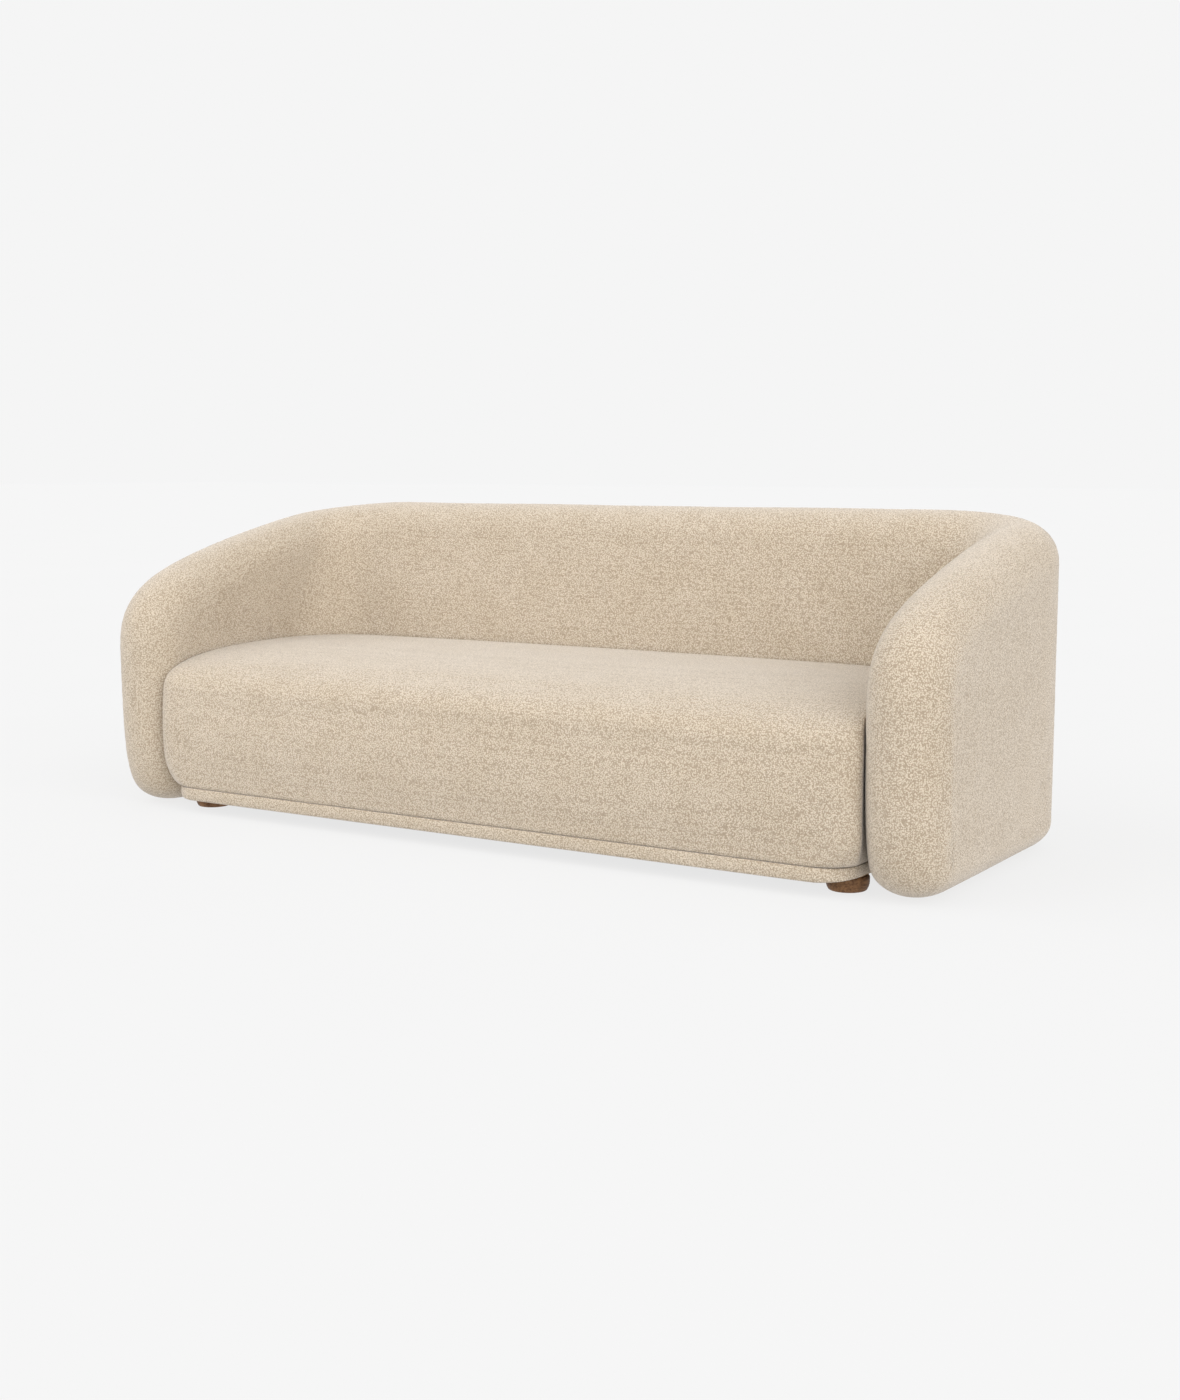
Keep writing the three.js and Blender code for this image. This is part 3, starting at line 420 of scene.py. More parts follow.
def seat_edges(outline, columns, rows):
    """A level outline of the seat as four edges that meet in the middle of its corners."""
    side, front, rear, widening, corner = outline
    nose_x = side + widening - corner[0]
    rear_x = side - SEAT_REAR_RADIUS

    def arc(x, y, radii, start, end):
        angles = np.radians(np.linspace(start, end, 16))
        return np.stack([x + radii[0] * np.cos(angles), y + radii[1] * np.sin(angles)], axis=1)

    def front_arc(sign, start, end):
        return arc(sign * nose_x, front + corner[1], corner, start, end)

    def rear_arc(sign, start, end):
        return arc(sign * rear_x, rear - SEAT_REAR_RADIUS, (SEAT_REAR_RADIUS, SEAT_REAR_RADIUS), start, end)

    edges = [
        resampled(np.concatenate([front_arc(-1, 225, 270), front_arc(1, 270, 315)]), columns),
        resampled(np.concatenate([front_arc(1, 315, 360), rear_arc(1, 0, 45)]), rows),
        resampled(np.concatenate([rear_arc(-1, 135, 90), rear_arc(1, 90, 45)]), columns),
        resampled(np.concatenate([front_arc(-1, 225, 180), rear_arc(-1, 180, 135)]), rows),
    ]
    for edge in edges:
        reach = reach_beside(side, edge[:, 1])
        edge[:, 0] = np.clip(edge[:, 0], -reach, reach)
    return edges


def seat_levels(step, inset):
    """The seat's rings from the bottom up: (outline, height, crown share)."""
    levels = []
    rise = SEAT_SHOULDER - SEAT_BOTTOM
    heights = np.concatenate([[0, 0.002, 0.005, 0.009], np.linspace(0.014, rise, round(rise / step))])
    for height in heights:
        belly = SEAT_BULGE * math.sin(math.pi * height / (rise + 0.060))
        tuck = SEAT_TUCK * max(0, 1 - height / 0.010) ** 2
        part = max(0, 1 - height / LOW_CORNER_HEIGHT)
        bend = 1 - math.sqrt(1 - part**2)
        outline = (
            SEAT_HALF_WIDTH + SEAT_SIDE_SWELL - inset - (SEAT_SIDE_SWELL + LOW_CORNER_INSET) * bend,
            SEAT_FRONT - belly + inset + tuck,
            SEAT_REAR - inset,
            SEAT_FRONT_WIDENING * (1 - bend),
            SEAT_CORNER + (LOW_CORNER_RADIUS - SEAT_CORNER) * bend,
        )
        levels.append((outline, SEAT_BOTTOM + height, 0))
    return levels + seat_top_levels(step, inset, belly)


def seat_top_levels(step, inset, belly):
    """The rings over the seat's long soft front edge."""
    lift = SEAT_HEIGHT - SEAT_SHOULDER - inset
    turns = np.linspace(0, math.pi / 2, 200)
    parts = 1 - np.cos(turns)
    softened = parts**SEAT_FRONT_SOFTNESS
    set_back = SEAT_FRONT_SLOPE * (softened + (parts - softened) * SEAT_SHOULDER_SHARE)
    profile = np.stack([set_back, lift * np.sin(turns), turns], axis=1)
    levels = []
    for back, height, turn in resampled(profile, round(0.50 / step))[1:]:
        part = 1 - math.cos(turn)
        outline = (
            SEAT_HALF_WIDTH + SEAT_SIDE_SWELL - inset - SEAT_SIDE_ROUNDING * part,
            SEAT_FRONT - belly + inset + back,
            SEAT_REAR - inset - SEAT_REAR_ROUNDING * part,
            SEAT_FRONT_WIDENING,
            SEAT_CORNER,
        )
        levels.append((outline, SEAT_SHOULDER + height, math.sin(turn)))
    return levels


def seat_surface(step, inset):
    """Points and quads of the seat's outer cover, open underneath."""
    columns = round(2 * SEAT_HALF_WIDTH / step)
    rows = round((SEAT_REAR - SEAT_FRONT) / step)
    points, ids, total = [], [], 0
    for outline, height, crown in seat_levels(step, inset):
        edges = seat_edges(outline, columns, rows)
        points.append(lifted(loop_of(*edges), height, crown))
        ids.append(total + np.arange(len(points[-1])))
        total += len(points[-1])
    inner = patch_points(*edges)[1:-1, 1:-1].reshape(-1, 2)
    points.append(lifted(inner, height, crown))
    grid = patch_ids(columns, rows, ids[-1][0], total)
    return np.concatenate(points), np.concatenate([ring_quads(np.array(ids)), quads_of(grid)[:, ::-1]])


def lifted(plan, height, crown):
    """Plan points at a height, with the seat's low crown across its width."""
    z = height + crown * SEAT_CROWN * (1 - (plan[:, 0] / SEAT_HALF_WIDTH) ** 2)
    return np.concatenate([plan, z[:, None]], axis=1)


# ---------- stuffing, by cloth simulation ----------


def swollen(name, points, faces, held, cap):
    """How far each point of a coarse skin swells along its normal when it is stuffed, at most cap."""
    skin = new_piece(name, points, faces, None)
    group = skin.vertex_groups.new(name="held")
    for level in np.unique(np.round(held, 2)):
        members = np.nonzero(np.round(held, 2) == level)[0].tolist()
        group.add(members, float(level), "REPLACE")
    cloth = skin.modifiers.new("Cloth", "CLOTH")
    for label, value in CLOTH_SETTINGS.items():
        setattr(cloth.settings, label, value)
    cloth.settings.effector_weights.gravity = 0
    cloth.point_cache.frame_end = STUFFING_FRAMES
    scene = bpy.context.scene
    for step in range(1, STUFFING_FRAMES + 1):
        scene.frame_set(step)
    graph = bpy.context.evaluated_depsgraph_get()
    moved = coordinates(skin.evaluated_get(graph).data) - coordinates(skin.data)
    normals = outward(skin.data)
    scene.frame_set(1)
    bpy.data.objects.remove(skin)
    swell = np.maximum(-DEEPEST_DENT, np.sum(moved * normals, axis=1, keepdims=True))
    return normals * swell * cap / (cap + np.abs(swell))


def carried(coarse, moves, fine):
    """The moves of a coarse skin's points, blended onto the points of a fine one."""
    tree = kdtree.KDTree(len(coarse))
    for i, p in enumerate(coarse):
        tree.insert(p, i)
    tree.balance()
    result = np.empty_like(fine)
    for i, p in enumerate(fine):
        found = tree.find_n(p, 4)
        weights = np.array([1 / (distance + 1e-4) ** 2 for _, _, distance in found])
        near = moves[[index for _, index, _ in found]]
        result[i] = weights @ near / weights.sum()
    return result


def fabric_relief(piece, seed, swing):
    """Slow unevenness of the stuffing and the loops' own roughness, as movement along the normals."""
    points = coordinates(piece.data)
    slow = swing * waves(points, 0.24, seed)
    loops = 0.0007 * waves(points, 0.011, seed + 1)
    return outward(piece.data) * (slow + loops)[:, None]


# ---------- materials ----------


def node(material, kind, **inputs):
    """A node of a material with some of its inputs set by name."""
    made = material.node_tree.nodes.new("ShaderNode" + kind)
    for label, value in inputs.items():
        made.inputs[label.replace("_", " ")].default_value = value
    return made


def join(material, source, target):
    """Links an output socket to an input socket."""
    material.node_tree.links.new(source, target)


def surface(name, colour, roughness, specular=0.3, metallic=0.0):
    """A material with its Principled shader."""
    material = bpy.data.materials.new(name)
    material.use_nodes = True
    material.diffuse_color = (*colour, 1)
    shader = material.node_tree.nodes["Principled BSDF"]
    shader.inputs["Base Color"].default_value = (*colour, 1)
    shader.inputs["Roughness"].default_value = roughness
    shader.inputs["Specular IOR Level"].default_value = specular
    shader.inputs["Metallic"].default_value = metallic
    return material, shader


def spots(material, stretch=(1, 1, 1), turn=(0, 0, 0)):
    """Object coordinates, turned and stretched."""
    place = node(material, "TexCoord")
    mapping = node(material, "Mapping", Scale=stretch, Rotation=turn)
    join(material, place.outputs["Object"], mapping.inputs["Vector"])
    return mapping.outputs["Vector"]


def cells(material, vector, size, randomness=1.0):
    """A Voronoi node: its Distance runs from 0 in the middle of each cell of about that size to about 1."""
    made = node(material, "TexVoronoi", Scale=1 / size, Randomness=randomness)
    join(material, vector, made.inputs["Vector"])
    return made


def clouds(material, vector, size, detail=2.0, roughness=0.5):
    """Smooth noise of 0 to 1 with features of about a size."""
    made = node(material, "TexNoise", Scale=1 / size, Detail=detail, Roughness=roughness)
    join(material, vector, made.inputs["Vector"])
    return made.outputs["Fac"]


def wobbled(material, vector, size, amount):
    """Coordinates pushed about by a noise of a size, by up to about half the amount."""
    noise_colour = node(material, "TexNoise", Scale=1 / size, Detail=1.0)
    join(material, vector, noise_colour.inputs["Vector"])
    push = node(material, "VectorMath")
    push.operation = "MULTIPLY_ADD"
    join(material, noise_colour.outputs["Color"], push.inputs[0])
    push.inputs[1].default_value = (amount, amount, amount)
    join(material, vector, push.inputs[2])
    return push.outputs["Vector"]


def between(material, value, low, high, out_low=0.0, out_high=1.0):
    """A value mapped smoothly from one range to another."""
    made = node(material, "MapRange")
    made.interpolation_type = "SMOOTHSTEP"
    join(material, value, made.inputs["Value"])
    for label, number in (("From Min", low), ("From Max", high), ("To Min", out_low), ("To Max", out_high)):
        made.inputs[label].default_value = number
    return made.outputs["Result"]


def sum_of(material, *terms):
    """The sum of values, each times its weight."""
    total = None
    for value, weight in terms:
        made = node(material, "Math")
        made.operation = "MULTIPLY_ADD"
        join(material, value, made.inputs[0])
        made.inputs[1].default_value = weight
        made.inputs[2].default_value = 0
        if total:
            join(material, total, made.inputs[2])
        total = made.outputs[0]
    return total


def blend_colours(material, share, first, second):
    """A colour between two, by a share; either may be a colour or another node's output."""
    made = node(material, "Mix")
    made.data_type = "RGBA"
    join(material, share, made.inputs[0])
    for socket, colour in ((made.inputs[6], first), (made.inputs[7], second)):
        if isinstance(colour, tuple):
            socket.default_value = (*colour, 1)
        else:
            join(material, colour, socket)
    return made.outputs[2]


def relief(material, shader, height, distance, strength=1.0):
    """Bump from a height field of 0 to 1 that stands for a depth in metres."""
    made = node(material, "Bump", Strength=strength, Distance=distance)
    join(material, height, made.inputs["Height"])
    join(material, made.outputs["Normal"], shader.inputs["Normal"])


def boucle():
    """Looped cream wool: small uneven nubs in loose rows, painted shade in the gaps between them, and a soft
    pale fuzz at grazing angles.
    """
    made, shader = surface("boucle", (0.600, 0.490, 0.370), 0.95, specular=0.12)
    plain = spots(made)
    curly = wobbled(made, plain, NUB * 0.8, NUB * 0.45)
    nubs = cells(made, curly, NUB, randomness=0.85)
    curls = cells(made, curly, NUB * 0.5)
    fibre = clouds(made, plain, NUB * 0.2, detail=2)
    tone = clouds(made, plain, 0.11, detail=2)
    nub_height = between(made, nubs.outputs["Distance"], 0.05, 0.75, 1.0, 0.0)
    curl_height = between(made, curls.outputs["Distance"], 0.05, 0.75, 1.0, 0.0)
    height = sum_of(made, (nub_height, 0.60), (curl_height, 0.25), (fibre, 0.15))
    # The gaps between the loops are painted darker as shade; the loop tops carry the wool's own colour.
    painted_gap_shade, bright = (0.316, 0.253, 0.184), (0.576, 0.496, 0.394)
    colour = blend_colours(made, between(made, height, 0.10, 0.62), painted_gap_shade, bright)
    warm = blend_colours(made, between(made, tone, 0.3, 0.7), (0.96, 0.95, 0.93), (1.0, 1.0, 1.0))
    tinted = node(made, "Mix")
    tinted.data_type = "RGBA"
    tinted.blend_type = "MULTIPLY"
    tinted.inputs[0].default_value = 1
    join(made, colour, tinted.inputs[6])
    join(made, warm, tinted.inputs[7])
    join(made, tinted.outputs[2], shader.inputs["Base Color"])
    shader.inputs["Sheen Weight"].default_value = 0.42
    shader.inputs["Sheen Roughness"].default_value = 0.45
    shader.inputs["Sheen Tint"].default_value = (1.0, 0.98, 0.97, 1)
    relief(made, shader, height, 0.0020, 0.7)
    return made


def grained_wood(name, dark, light, grain, roughness, streak=(1.0, 0.08, 1.0)):
    """Planed or turned wood with long grain, fine pores and a slight change of gloss."""
    made, shader = surface(name, tuple((a + b) / 2 for a, b in zip(dark, light)), roughness, specular=0.15)
    along = spots(made, stretch=streak)
    bands = clouds(made, along, grain, detail=4, roughness=0.6)
    pores = clouds(made, along, grain * 0.12, detail=2)
    broad = clouds(made, along, grain * 5, detail=2)
    share = sum_of(made, (bands, 0.55), (broad, 0.30), (pores, 0.15))
    colour = blend_colours(made, between(made, share, 0.36, 0.64), dark, light)
    join(made, colour, shader.inputs["Base Color"])
    join(made, between(made, pores, 0.3, 0.7, roughness - 0.06, roughness + 0.10), shader.inputs["Roughness"])
    relief(made, shader, share, 0.0003, 0.35)
    return made


def open_foam():
    """Cut polyurethane foam with open cells."""
    made, shader = surface("foam", (0.78, 0.72, 0.55), 0.95, specular=0.1)
    plain = spots(made)
    pores = cells(made, plain, 0.0022)
    tone = clouds(made, plain, 0.07, detail=3)
    height = between(made, pores.outputs["Distance"], 0.1, 0.6)
    # The pore hollows are painted darker as shade, the cell walls lighter.
    colour = blend_colours(made, height, (0.60, 0.53, 0.37), (0.80, 0.74, 0.57))
    colour = blend_colours(made, between(made, tone, 0.45, 0.75), colour, (0.74, 0.66, 0.46))
    join(made, colour, shader.inputs["Base Color"])
    relief(made, shader, height, 0.001, 0.6)
    return made


def felted(name, dark, light, size):
    """Non-woven cloth: short matted fibres."""
    made, shader = surface(name, light, 0.95, specular=0.1)
    shader.inputs["Sheen Weight"].default_value = 0.15
    flat_fibres = spots(made, stretch=(1.0, 1.0, 3.0))
    mat = clouds(made, flat_fibres, size, detail=4, roughness=0.7)
    dots = cells(made, spots(made), size * 2.2, randomness=0.15)
    colour = blend_colours(made, between(made, mat, 0.3, 0.7), dark, light)
    join(made, colour, shader.inputs["Base Color"])
    height = sum_of(made, (mat, 0.6), (dots.outputs["Distance"], 0.4))
    relief(made, shader, height, 0.0006, 0.5)
    return made


def woven(name, dark, light, thread):
    """Plain woven jute: threads over and under both ways."""
    made, shader = surface(name, light, 0.9, specular=0.1)
    place = node(made, "TexCoord")
    split = node(made, "SeparateXYZ")
    join(made, place.outputs["Object"], split.inputs["Vector"])
    ridges = []
    for axis in ("X", "Z"):
        wave = node(made, "Math")
        wave.operation = "SINE"
        join(made, sum_of(made, (split.outputs[axis], 2 * math.pi / thread)), wave.inputs[0])
        ridges.append(wave.outputs[0])
    hair = clouds(made, spots(made), thread * 0.4, detail=3)
    height = sum_of(made, (ridges[0], 0.25), (ridges[1], 0.25), (hair, 0.5))
    # Where the threads dip under each other the jute is painted darker as shade; the hair noise adds the
    # jute's own uneven tone.
    join(made, blend_colours(made, between(made, height, 0.0, 0.6), dark, light), shader.inputs["Base Color"])
    relief(made, shader, height, 0.0008, 0.6)
    return made


def moulded(name, colour):
    """Dark moulded plastic with a fine grain."""
    made, shader = surface(name, colour, 0.5, specular=0.4)
    grain = clouds(made, spots(made), 0.0007, detail=3)
    tone = clouds(made, spots(made), 0.012, detail=2)
    lighter = tuple(c * 1.6 for c in colour)
    mottled = blend_colours(made, between(made, tone, 0.3, 0.7), colour, lighter)
    join(made, mottled, shader.inputs["Base Color"])
    join(made, between(made, grain, 0.3, 0.7, 0.42, 0.62), shader.inputs["Roughness"])
    relief(made, shader, grain, 0.0002, 0.4)
    return made


def drawn_steel():
    """Zinc-coated steel wire and bolts."""
    made, shader = surface("steel", (0.48, 0.48, 0.49), 0.35, specular=0.5, metallic=1.0)
    along = spots(made, stretch=(1.0, 1.0, 0.15))
    scratches = clouds(made, along, 0.0009, detail=3)
    tone = clouds(made, spots(made), 0.02, detail=3)
    colour = blend_colours(made, between(made, tone, 0.3, 0.7), (0.40, 0.40, 0.41), (0.58, 0.58, 0.57))
    join(made, colour, shader.inputs["Base Color"])
    join(made, between(made, scratches, 0.3, 0.7, 0.25, 0.5), shader.inputs["Roughness"])
    relief(made, shader, scratches, 0.0002, 0.3)
    return made


def layered_plywood():
    """Plywood: pale veneers in thin layers, with a broken grain."""
    made, shader = surface("plywood", (0.52, 0.36, 0.2), 0.7)
    grain = clouds(made, spots(made, stretch=(1.0, 0.1, 0.6)), 0.006, detail=4, roughness=0.6)
    layers = clouds(made, spots(made, stretch=(1.0, 0.02, 0.02)), 0.0022, detail=1)
    colour = blend_colours(made, between(made, grain, 0.3, 0.7), (0.46, 0.31, 0.17), (0.60, 0.44, 0.27))
    colour = blend_colours(made, between(made, layers, 0.50, 0.62), colour, (0.38, 0.25, 0.13))
    join(made, colour, shader.inputs["Base Color"])
    relief(made, shader, grain, 0.0004, 0.4)
    return made


FINISHES = {
    "boucle": boucle(),
    "foam": open_foam(),
    "walnut": grained_wood("walnut", (0.070, 0.033, 0.015), (0.215, 0.112, 0.052), 0.004, 0.50),
    "pine": grained_wood("pine", (0.52, 0.36, 0.20), (0.66, 0.50, 0.32), 0.008, 0.7, (1.0, 0.06, 0.06)),
    "plywood": layered_plywood(),
    "steel": drawn_steel(),
    "plastic": moulded("plastic", (0.022, 0.021, 0.020)),
    "lining": felted("lining", (0.012, 0.012, 0.013), (0.034, 0.033, 0.032), 0.0012),
    "webbing": woven("webbing", (0.20, 0.145, 0.08), (0.38, 0.29, 0.17), 0.0024),
}

FINISH_BY_NAME = [
    ("foot_glide", "plastic"),
    ("foot_bolt", "steel"),
    ("corner_block", "pine"),
    ("spring_clip_rail", "plastic"),
    ("seat_spring", "steel"),
    ("seat_center_brace", "pine"),
    ("deck_felt", "lining"),
    ("arm_panel", "plywood"),
    ("seat_front_rail", "plywood"),
    ("seat_rear_rail", "plywood"),
    ("seat_side_rail", "plywood"),
    ("arm_front_post", "pine"),
    ("back_leveller", "plastic"),
    ("back_webbing", "webbing"),
    ("back_", "pine"),
]


def finish_frame_nodes():
    """Gives every carried-over CAD node the procedural finish of what it is made of."""
    for name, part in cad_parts.items():
        label = next((finish for start, finish in FINISH_BY_NAME if name.startswith(start)), None)
        if label:
            part.data.materials.clear()
            part.data.materials.append(FINISHES[label])


# ---------- upholstery ----------


def finish_piece(piece, slot, *nodes):
    """Puts a piece on the sofa's one body, in place of its CAD nodes."""
    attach(piece, "root")
    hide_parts(*nodes)


def wrap_freedom(points):
    """How freely the wrap's skin may swell: not where the seat presses on it, nor underneath."""
    x, y, z = points.T
    beside_seat = (np.abs(x) < WIDTH / 2 - WALL + 0.012) & (y < SEAT_REAR + 0.03)
    pressed = np.where(beside_seat, 1 - shaped(z, SEAT_HEIGHT - 0.03, SEAT_HEIGHT + 0.10), 0)
    off_floor = shaped(z, WRAP_BOTTOM + 0.01, WRAP_BOTTOM + 0.12)
    return (1 - pressed) * off_floor


def make_wrap():
    """The padded wall: cover and stuffing of both arms and the back in one piece."""
    points, faces = wrap_surface(WRAP_STEP, SKIN_INSET)
    piece = new_piece("wrap_upholstery", points, faces, FINISHES["boucle"])
    freedom = wrap_freedom(points)
    coarse, coarse_faces = wrap_surface(WRAP_SKIN_STEP, SKIN_INSET)
    held = 1 - (1 - LOOSEST_HOLD) * wrap_freedom(coarse)
    moves = swollen("wrap_skin", coarse, coarse_faces, held, WRAP_SWELL)
    move_points(piece, carried(coarse, moves, points) * freedom[:, None])
    uneven = fabric_relief(piece, 1, 0.0016)
    move_points(piece, uneven * (0.25 + 0.75 * freedom[:, None]))
    finish_piece(piece, "boucle", "wrap_cover", "arm_foam_left", "arm_foam_right", "back_foam")
    return piece


def seat_freedom(points):
    """How freely the seat's skin may swell: over its top and front, away from arms and back."""
    x, y, z = points.T
    from_arms = shaped(SEAT_HALF_WIDTH - np.abs(x), 0.002, 0.14)
    from_back = shaped(SEAT_REAR - y, 0.01, 0.10)
    from_band = shaped(z - SEAT_BOTTOM, 0.004, 0.07)
    return from_arms * from_back * from_band


def pull_wrinkles(points):
    """Shallow folds where the cover is drawn down between seat and arms."""
    x, y, z = points.T
    from_arm = SEAT_HALF_WIDTH - np.abs(x)
    near = np.exp(-((from_arm - 0.030) / 0.034) ** 2)
    high = np.exp(-((z - 0.345) / 0.055) ** 2) * shaped(-y, 0.20, 0.40)
    fold = np.sin((z + 0.8 * from_arm + 0.3 * y) * 2 * math.pi / FOLD_SPACING)
    return -FOLD_DEPTH * near * high * (0.6 + 0.4 * fold)


def make_seat():
    """The bench seat's cover, drawn tight over its foam and open underneath."""
    points, faces = seat_surface(SEAT_STEP, SKIN_INSET)
    piece = new_piece("seat_upholstery", points, faces, FINISHES["boucle"])
    coarse, coarse_faces = seat_surface(SEAT_SKIN_STEP, SKIN_INSET)
    held = 1 - (1 - LOOSEST_HOLD) * seat_freedom(coarse)
    moves = swollen("seat_skin", coarse, coarse_faces, held, SEAT_SWELL)
    move_points(piece, carried(coarse, moves, points) * seat_freedom(points)[:, None])
    folds = outward(piece.data) * pull_wrinkles(points)[:, None]
    calm = 0.15 + 0.85 * seat_freedom(points)[:, None]
    move_points(piece, fabric_relief(piece, 4, 0.0014) * calm + folds)
    thick = piece.modifiers.new("Cloth thickness", "SOLIDIFY")
    thick.thickness = CLOTH
    thick.offset = -1
    apply_modifiers(piece)
    finish_piece(piece, "boucle", "seat_cover")
    return piece


def drawn_in(points):
    """Seat foam's places with its outer faces drawn in, and its faces against the frame left alone."""
    low, high = points.min(axis=0), points.max(axis=0)
    rail_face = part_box("seat_front_rail")[0].y
    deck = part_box("deck_felt")[1].z
    ahead = np.clip((rail_face - points[:, 1]) / (rail_face - low[1]), 0, 1)
    above = np.clip((points[:, 2] - deck) / (high[2] - deck), 0, 1)
    shares = np.stack([-points[:, 0] / high[0], ahead, -above], axis=1)
    return points + FOAM_INSET * shares


def make_seat_foam():
    """The foam under the seat's cover, its faces slightly uneven as cut foam is."""
    piece = bpy.data.objects.new("seat_foam_block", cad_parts["seat_foam"].data.copy())
    bpy.context.scene.collection.objects.link(piece)
    finer = piece.modifiers.new("Finer", "SUBSURF")
    finer.subdivision_type = "SIMPLE"
    finer.levels = 2
    apply_modifiers(piece)
    points = drawn_in(coordinates(piece.data))
    uneven = 0.0008 * waves(points, 0.06, 9)
    shift = outward(piece.data) * uneven[:, None]
    piece.data.vertices.foreach_set("co", (points + shift).ravel())
    piece.data.update()
    piece.data.materials.clear()
    piece.data.materials.append(FINISHES["foam"])
    finish_piece(piece, "foam", "seat_foam")
    return piece


BAND_FACE = BAND_LOW.y
BAND_CORNER = LOW_CORNER_RADIUS
BAND_RETURN = 0.130
BAND_PADDING = 0.0165
BAND_UNDERTURN = 0.039
BAND_END_RISE = 0.006
BAND_RETURN_PADDING = 0.0034
BAND_CLOTH = 0.0023


def band_path(step):
    """Rows of (x, y, outward x, outward y, share) along the band; share is 1 on the front, 0 on returns."""
    half = BAND_HIGH.x
    straight = half - BAND_CORNER
    bends = np.radians(np.linspace(0, 90, 14))
    front = [(x, BAND_FACE, 0, -1, 1) for x in np.arange(0, straight, step)]
    corner = [
        (
            straight + BAND_CORNER * math.sin(a),
            BAND_FACE + BAND_CORNER * (1 - math.cos(a)),
            math.sin(a),
            -math.cos(a),
            math.cos(a) ** 2,
        )
        for a in bends
    ]
    sides = [(half, BAND_FACE + BAND_CORNER + y, 1, 0, 0) for y in np.arange(step, BAND_RETURN, step)]
    right = np.array(front + corner + sides)
    left = right[:0:-1] * [-1, 1, -1, 1, 1]
    return np.concatenate([left, right])


def band_outline(share):
    """The band's section as rows of (depth, height): a soft face with a rounded lower edge."""
    low, high = BAND_LOW.z + BAND_END_RISE * (1 - share), BAND_HIGH.z
    depth = BAND_RETURN_PADDING + (BAND_PADDING - BAND_RETURN_PADDING) * share
    under = depth + 0.0006 + (BAND_UNDERTURN - BAND_PADDING) * share
    edge = 0.0030 + 0.0040 * share
    arc = np.radians(np.linspace(0, 90, 6))
    lower = [(edge * (1 - math.cos(a)), low + edge * (1 - math.sin(a))) for a in arc]
    start, fall = high - 0.002, low + edge - (high - 0.002)
    face = [(-0.0012 * math.sin(math.pi * t), start + fall * t) for t in np.linspace(0, 1, 8)][:-1]
    top = [(depth, high), (0.0028, high), (0.0010, high - 0.0006)]
    inner = [(under, low + 0.0004), (under, low + BAND_CLOTH), (depth + 0.0003, low + BAND_CLOTH)]
    return np.array(top + face + lower + inner)


def make_band():
    """The narrow padded band under the seat; its ends turn back round the corners of the base."""
    stations = []
    for x, y, nx, ny, share in band_path(0.006):
        depth, height = band_outline(share).T
        stations.append(np.stack([x - nx * depth, y - ny * depth, height], axis=1))
    points, faces = closed_sweep(np.array(stations))
    piece = new_piece("base_band_upholstery", points, faces, FINISHES["boucle"])
    visible = shaped(BAND_HIGH.z - points[:, 2], 0.001, 0.006) * shaped(-points[:, 1], 0.30, 0.36)
    on_face = np.where(np.abs(points[:, 1] - BAND_FACE) < 0.004, 1, 0)
    move_points(piece, fabric_relief(piece, 7, 0.0006) * (visible * on_face)[:, None])
    finish_piece(piece, "boucle", "base_band")
    return piece


# ---------- feet and underside ----------


def rounded_profile(corners, steps=6):
    """Replaces each corner (radius, height, rounding) of a profile by an arc through its cut-off points."""
    made = []
    for i, (r, z, rounding) in enumerate(corners):
        if rounding == 0:
            made.append((r, z))
            continue
        here = np.array([r, z])
        before = np.array(corners[i - 1][:2]) - here
        after = np.array(corners[i + 1][:2]) - here
        start = here + before / np.linalg.norm(before) * rounding
        end = here + after / np.linalg.norm(after) * rounding
        for t in np.linspace(0, 1, steps):
            made.append(tuple((1 - t) ** 2 * start + 2 * t * (1 - t) * here + t**2 * end))
    return made


def make_foot(place):
    """One turned walnut foot: a low puck with a rounded lower edge and a small bevel above."""
    low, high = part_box("foot_" + place)
    centre = ((low.x + high.x) / 2, (low.y + high.y) / 2)
    radius = (high.x - low.x) / 2
    profile = rounded_profile([
        (0, low.z, 0),
        (radius - 0.006, low.z, 0.003),
        (radius, low.z + 0.012, 0.008),
        (radius, high.z - 0.004, 0.002),
        (radius - 0.003, high.z, 0.0015),
        (0, high.z, 0),
    ])
    piece = turned("walnut_foot_" + place, profile, centre, FINISHES["walnut"])
    finish_piece(piece, "walnut", "foot_" + place)
    return piece


def dust_cover_edges(columns):
    """The dust cover's front and rear edges at places across it, with slanted rear and cut front corners."""
    low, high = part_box("dust_cover")
    side_rail_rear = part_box("seat_side_rail_right")[1].y
    slant_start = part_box("seat_rear_rail")[1].x - 0.020
    x = np.linspace(low.x + 0.001, high.x - 0.001, columns + 1)
    slope = (np.abs(x) - slant_start) / (high.x - slant_start)
    rear = high.y - 0.001 - (high.y - side_rail_rear) * np.clip(slope, 0, 1)
    cut_off = np.clip((np.abs(x) - high.x + 0.018) / 0.018, 0, 1)
    front = low.y + 0.001 + (BAND_FACE + BAND_CORNER - low.y) * cut_off
    return x, front, rear


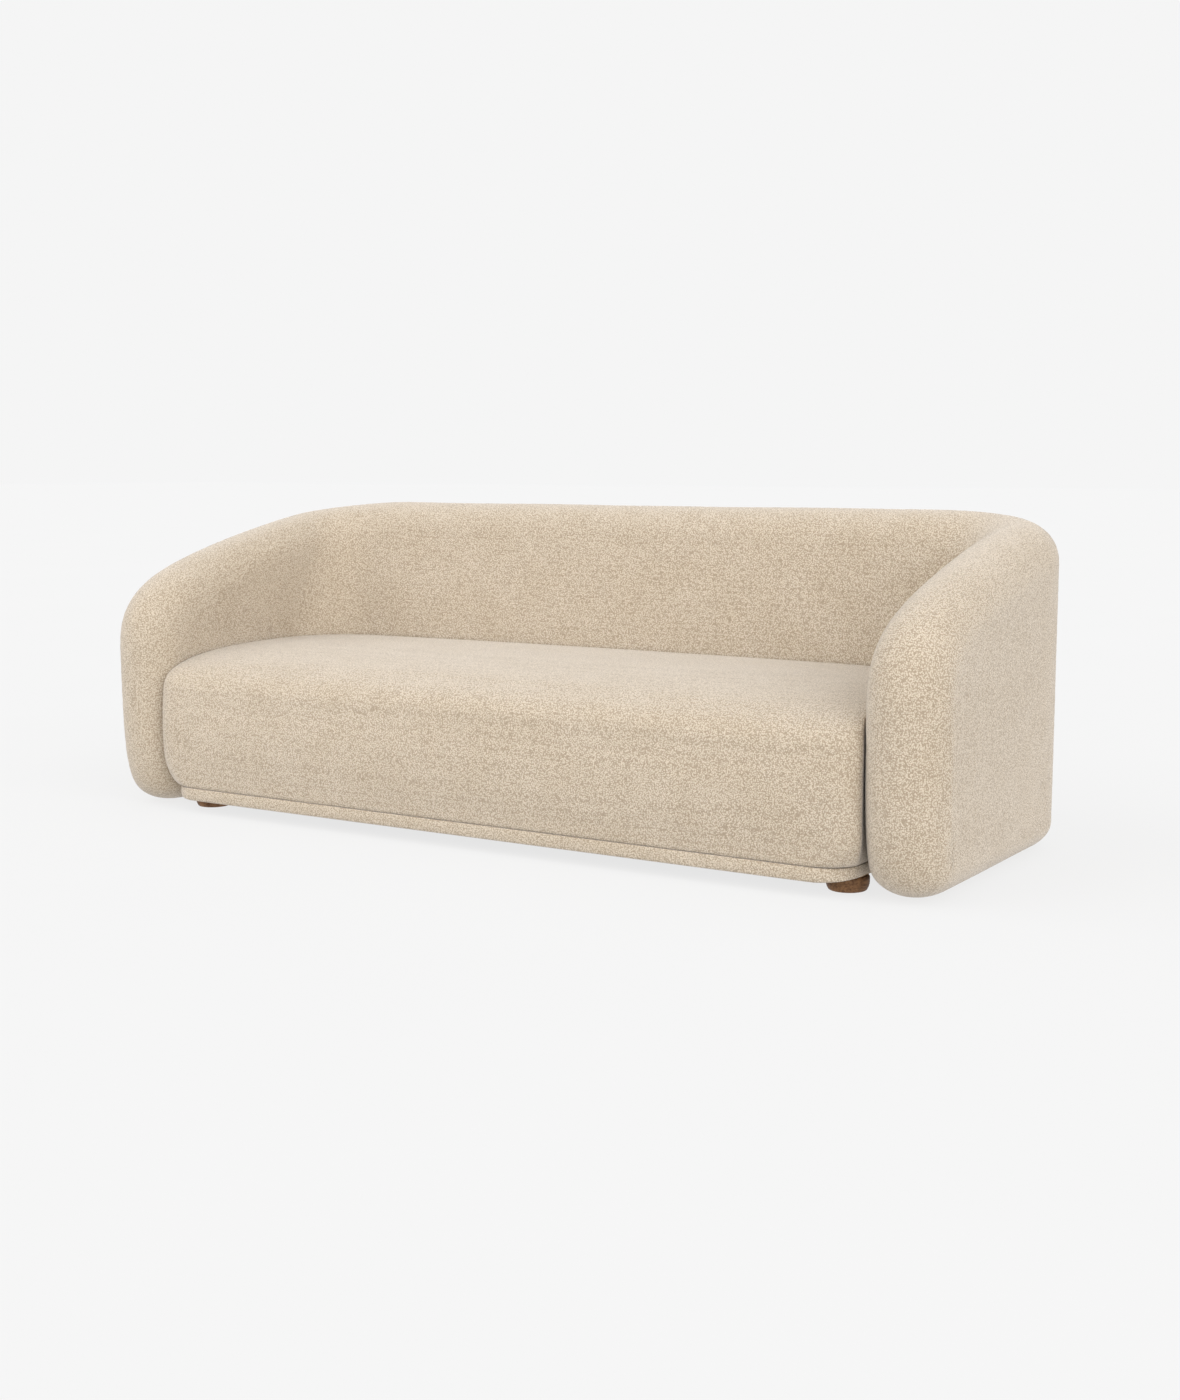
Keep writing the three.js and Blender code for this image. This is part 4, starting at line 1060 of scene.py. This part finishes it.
def make_dust_cover():
    """The dark cloth stapled under the seat box, which sags a little between its fixings."""
    low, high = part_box("dust_cover")
    columns, rows = 190, 54
    x, front, rear = dust_cover_edges(columns)
    v = np.linspace(0, 1, rows + 1)
    y = front[:, None] + (rear - front)[:, None] * v
    grid_x = np.repeat(x[:, None], rows + 1, axis=1)
    middle = np.sin(math.pi * v)[None] * np.sqrt(np.maximum(0, 1 - (grid_x / high.x) ** 4))
    flat = np.stack([grid_x, y, np.full_like(y, high.z - 0.0001)], axis=-1).reshape(-1, 3)
    ripple = 0.5 + 0.5 * waves(flat, 0.09, 12)
    flat[:, 2] -= 0.0006 * middle.ravel() * (0.4 + 0.6 * ripple)
    ids = np.arange(len(flat)).reshape(columns + 1, rows + 1)
    piece = new_piece("dust_cover_cloth", flat, quads_of(ids), FINISHES["lining"])
    thick = piece.modifiers.new("Cloth thickness", "SOLIDIFY")
    thick.thickness = 0.0005
    thick.offset = -1
    apply_modifiers(piece)
    finish_piece(piece, "lining", "dust_cover")
    return piece


# ---------- studio ----------

SHADE = 0.913
FLOOR_GLOW = 0.772
FLOOR_REACH = 60.0

CAMERA_PLACE = (2.4398, -3.7707, 0.8749)
CAMERA_YAW = 32.33
CAMERA_PITCH = 7.3
CAMERA_LENS = 47.46


def make_floor():
    """A wide pale floor that glows softly, as a light table does, and takes a faint contact shadow."""
    made, shader = surface("studio_floor", (0.10, 0.10, 0.10), 0.9, specular=0.0)
    tone = clouds(made, spots(made), 0.8, detail=2)
    pale = blend_colours(made, between(made, tone, 0.3, 0.7), (0.099, 0.099, 0.099), (0.101, 0.101, 0.101))
    join(made, pale, shader.inputs["Base Color"])
    shader.inputs["Emission Color"].default_value = (1, 1, 1, 1)
    shader.inputs["Emission Strength"].default_value = FLOOR_GLOW
    far = FLOOR_REACH
    section = ((-far, -0.02), (far, -0.02), (far, 0), (-far, 0))
    stations = np.array([[(x, y, z) for y, z in section] for x in (-far, far)])
    floor = new_piece("studio_floor", *closed_sweep(stations), made, smooth=False)


def make_light(name, source, energy, spread):
    """A wide soft light from a direction, the same all over the set; spread is in degrees."""
    light = bpy.data.lights.new(name, "SUN")
    light.energy = energy
    light.angle = math.radians(spread)
    lamp = bpy.data.objects.new(name, light)
    lamp.rotation_euler = (-Vector(source)).to_track_quat("-Z", "Y").to_euler()
    bpy.context.scene.collection.objects.link(lamp)


def make_studio():
    """Even light from all round, more of it from the upper left and right, a floor and the camera."""
    scene = bpy.context.scene
    scene.view_settings.view_transform = "Standard"
    world = bpy.data.worlds.new("studio")
    world.use_nodes = True
    background = world.node_tree.nodes["Background"]
    background.inputs["Color"].default_value = (SHADE, SHADE, SHADE, 1)
    background.inputs["Strength"].default_value = 1.0
    scene.world = world
    make_floor()
    make_light("front", (0.1, -1, 0.25), 0.60, 60)
    make_light("left", (-0.6, -0.5, 0.6), 1.24, 60)
    make_light("right", (0.8, -0.42, 0.45), 2.05, 60)
    make_camera()


def make_camera():
    """The camera, at the place and angle the photograph was taken from."""
    camera = bpy.data.cameras.new("camera")
    camera.sensor_width = 36
    camera.lens = CAMERA_LENS
    holder = bpy.data.objects.new("camera", camera)
    yaw, pitch = math.radians(CAMERA_YAW), math.radians(CAMERA_PITCH)
    forward = Vector((-math.sin(yaw) * math.cos(pitch), math.cos(yaw) * math.cos(pitch), -math.sin(pitch)))
    holder.location = CAMERA_PLACE
    holder.rotation_euler = forward.to_track_quat("-Z", "Y").to_euler()
    bpy.context.scene.collection.objects.link(holder)
    bpy.context.scene.camera = holder


# ---------- assembly ----------

finish_frame_nodes()
make_wrap()
make_seat()
make_seat_foam()
make_band()
for place in ("front_left", "front_right", "rear_left", "rear_right", "center"):
    make_foot(place)
make_dust_cover()
make_studio()
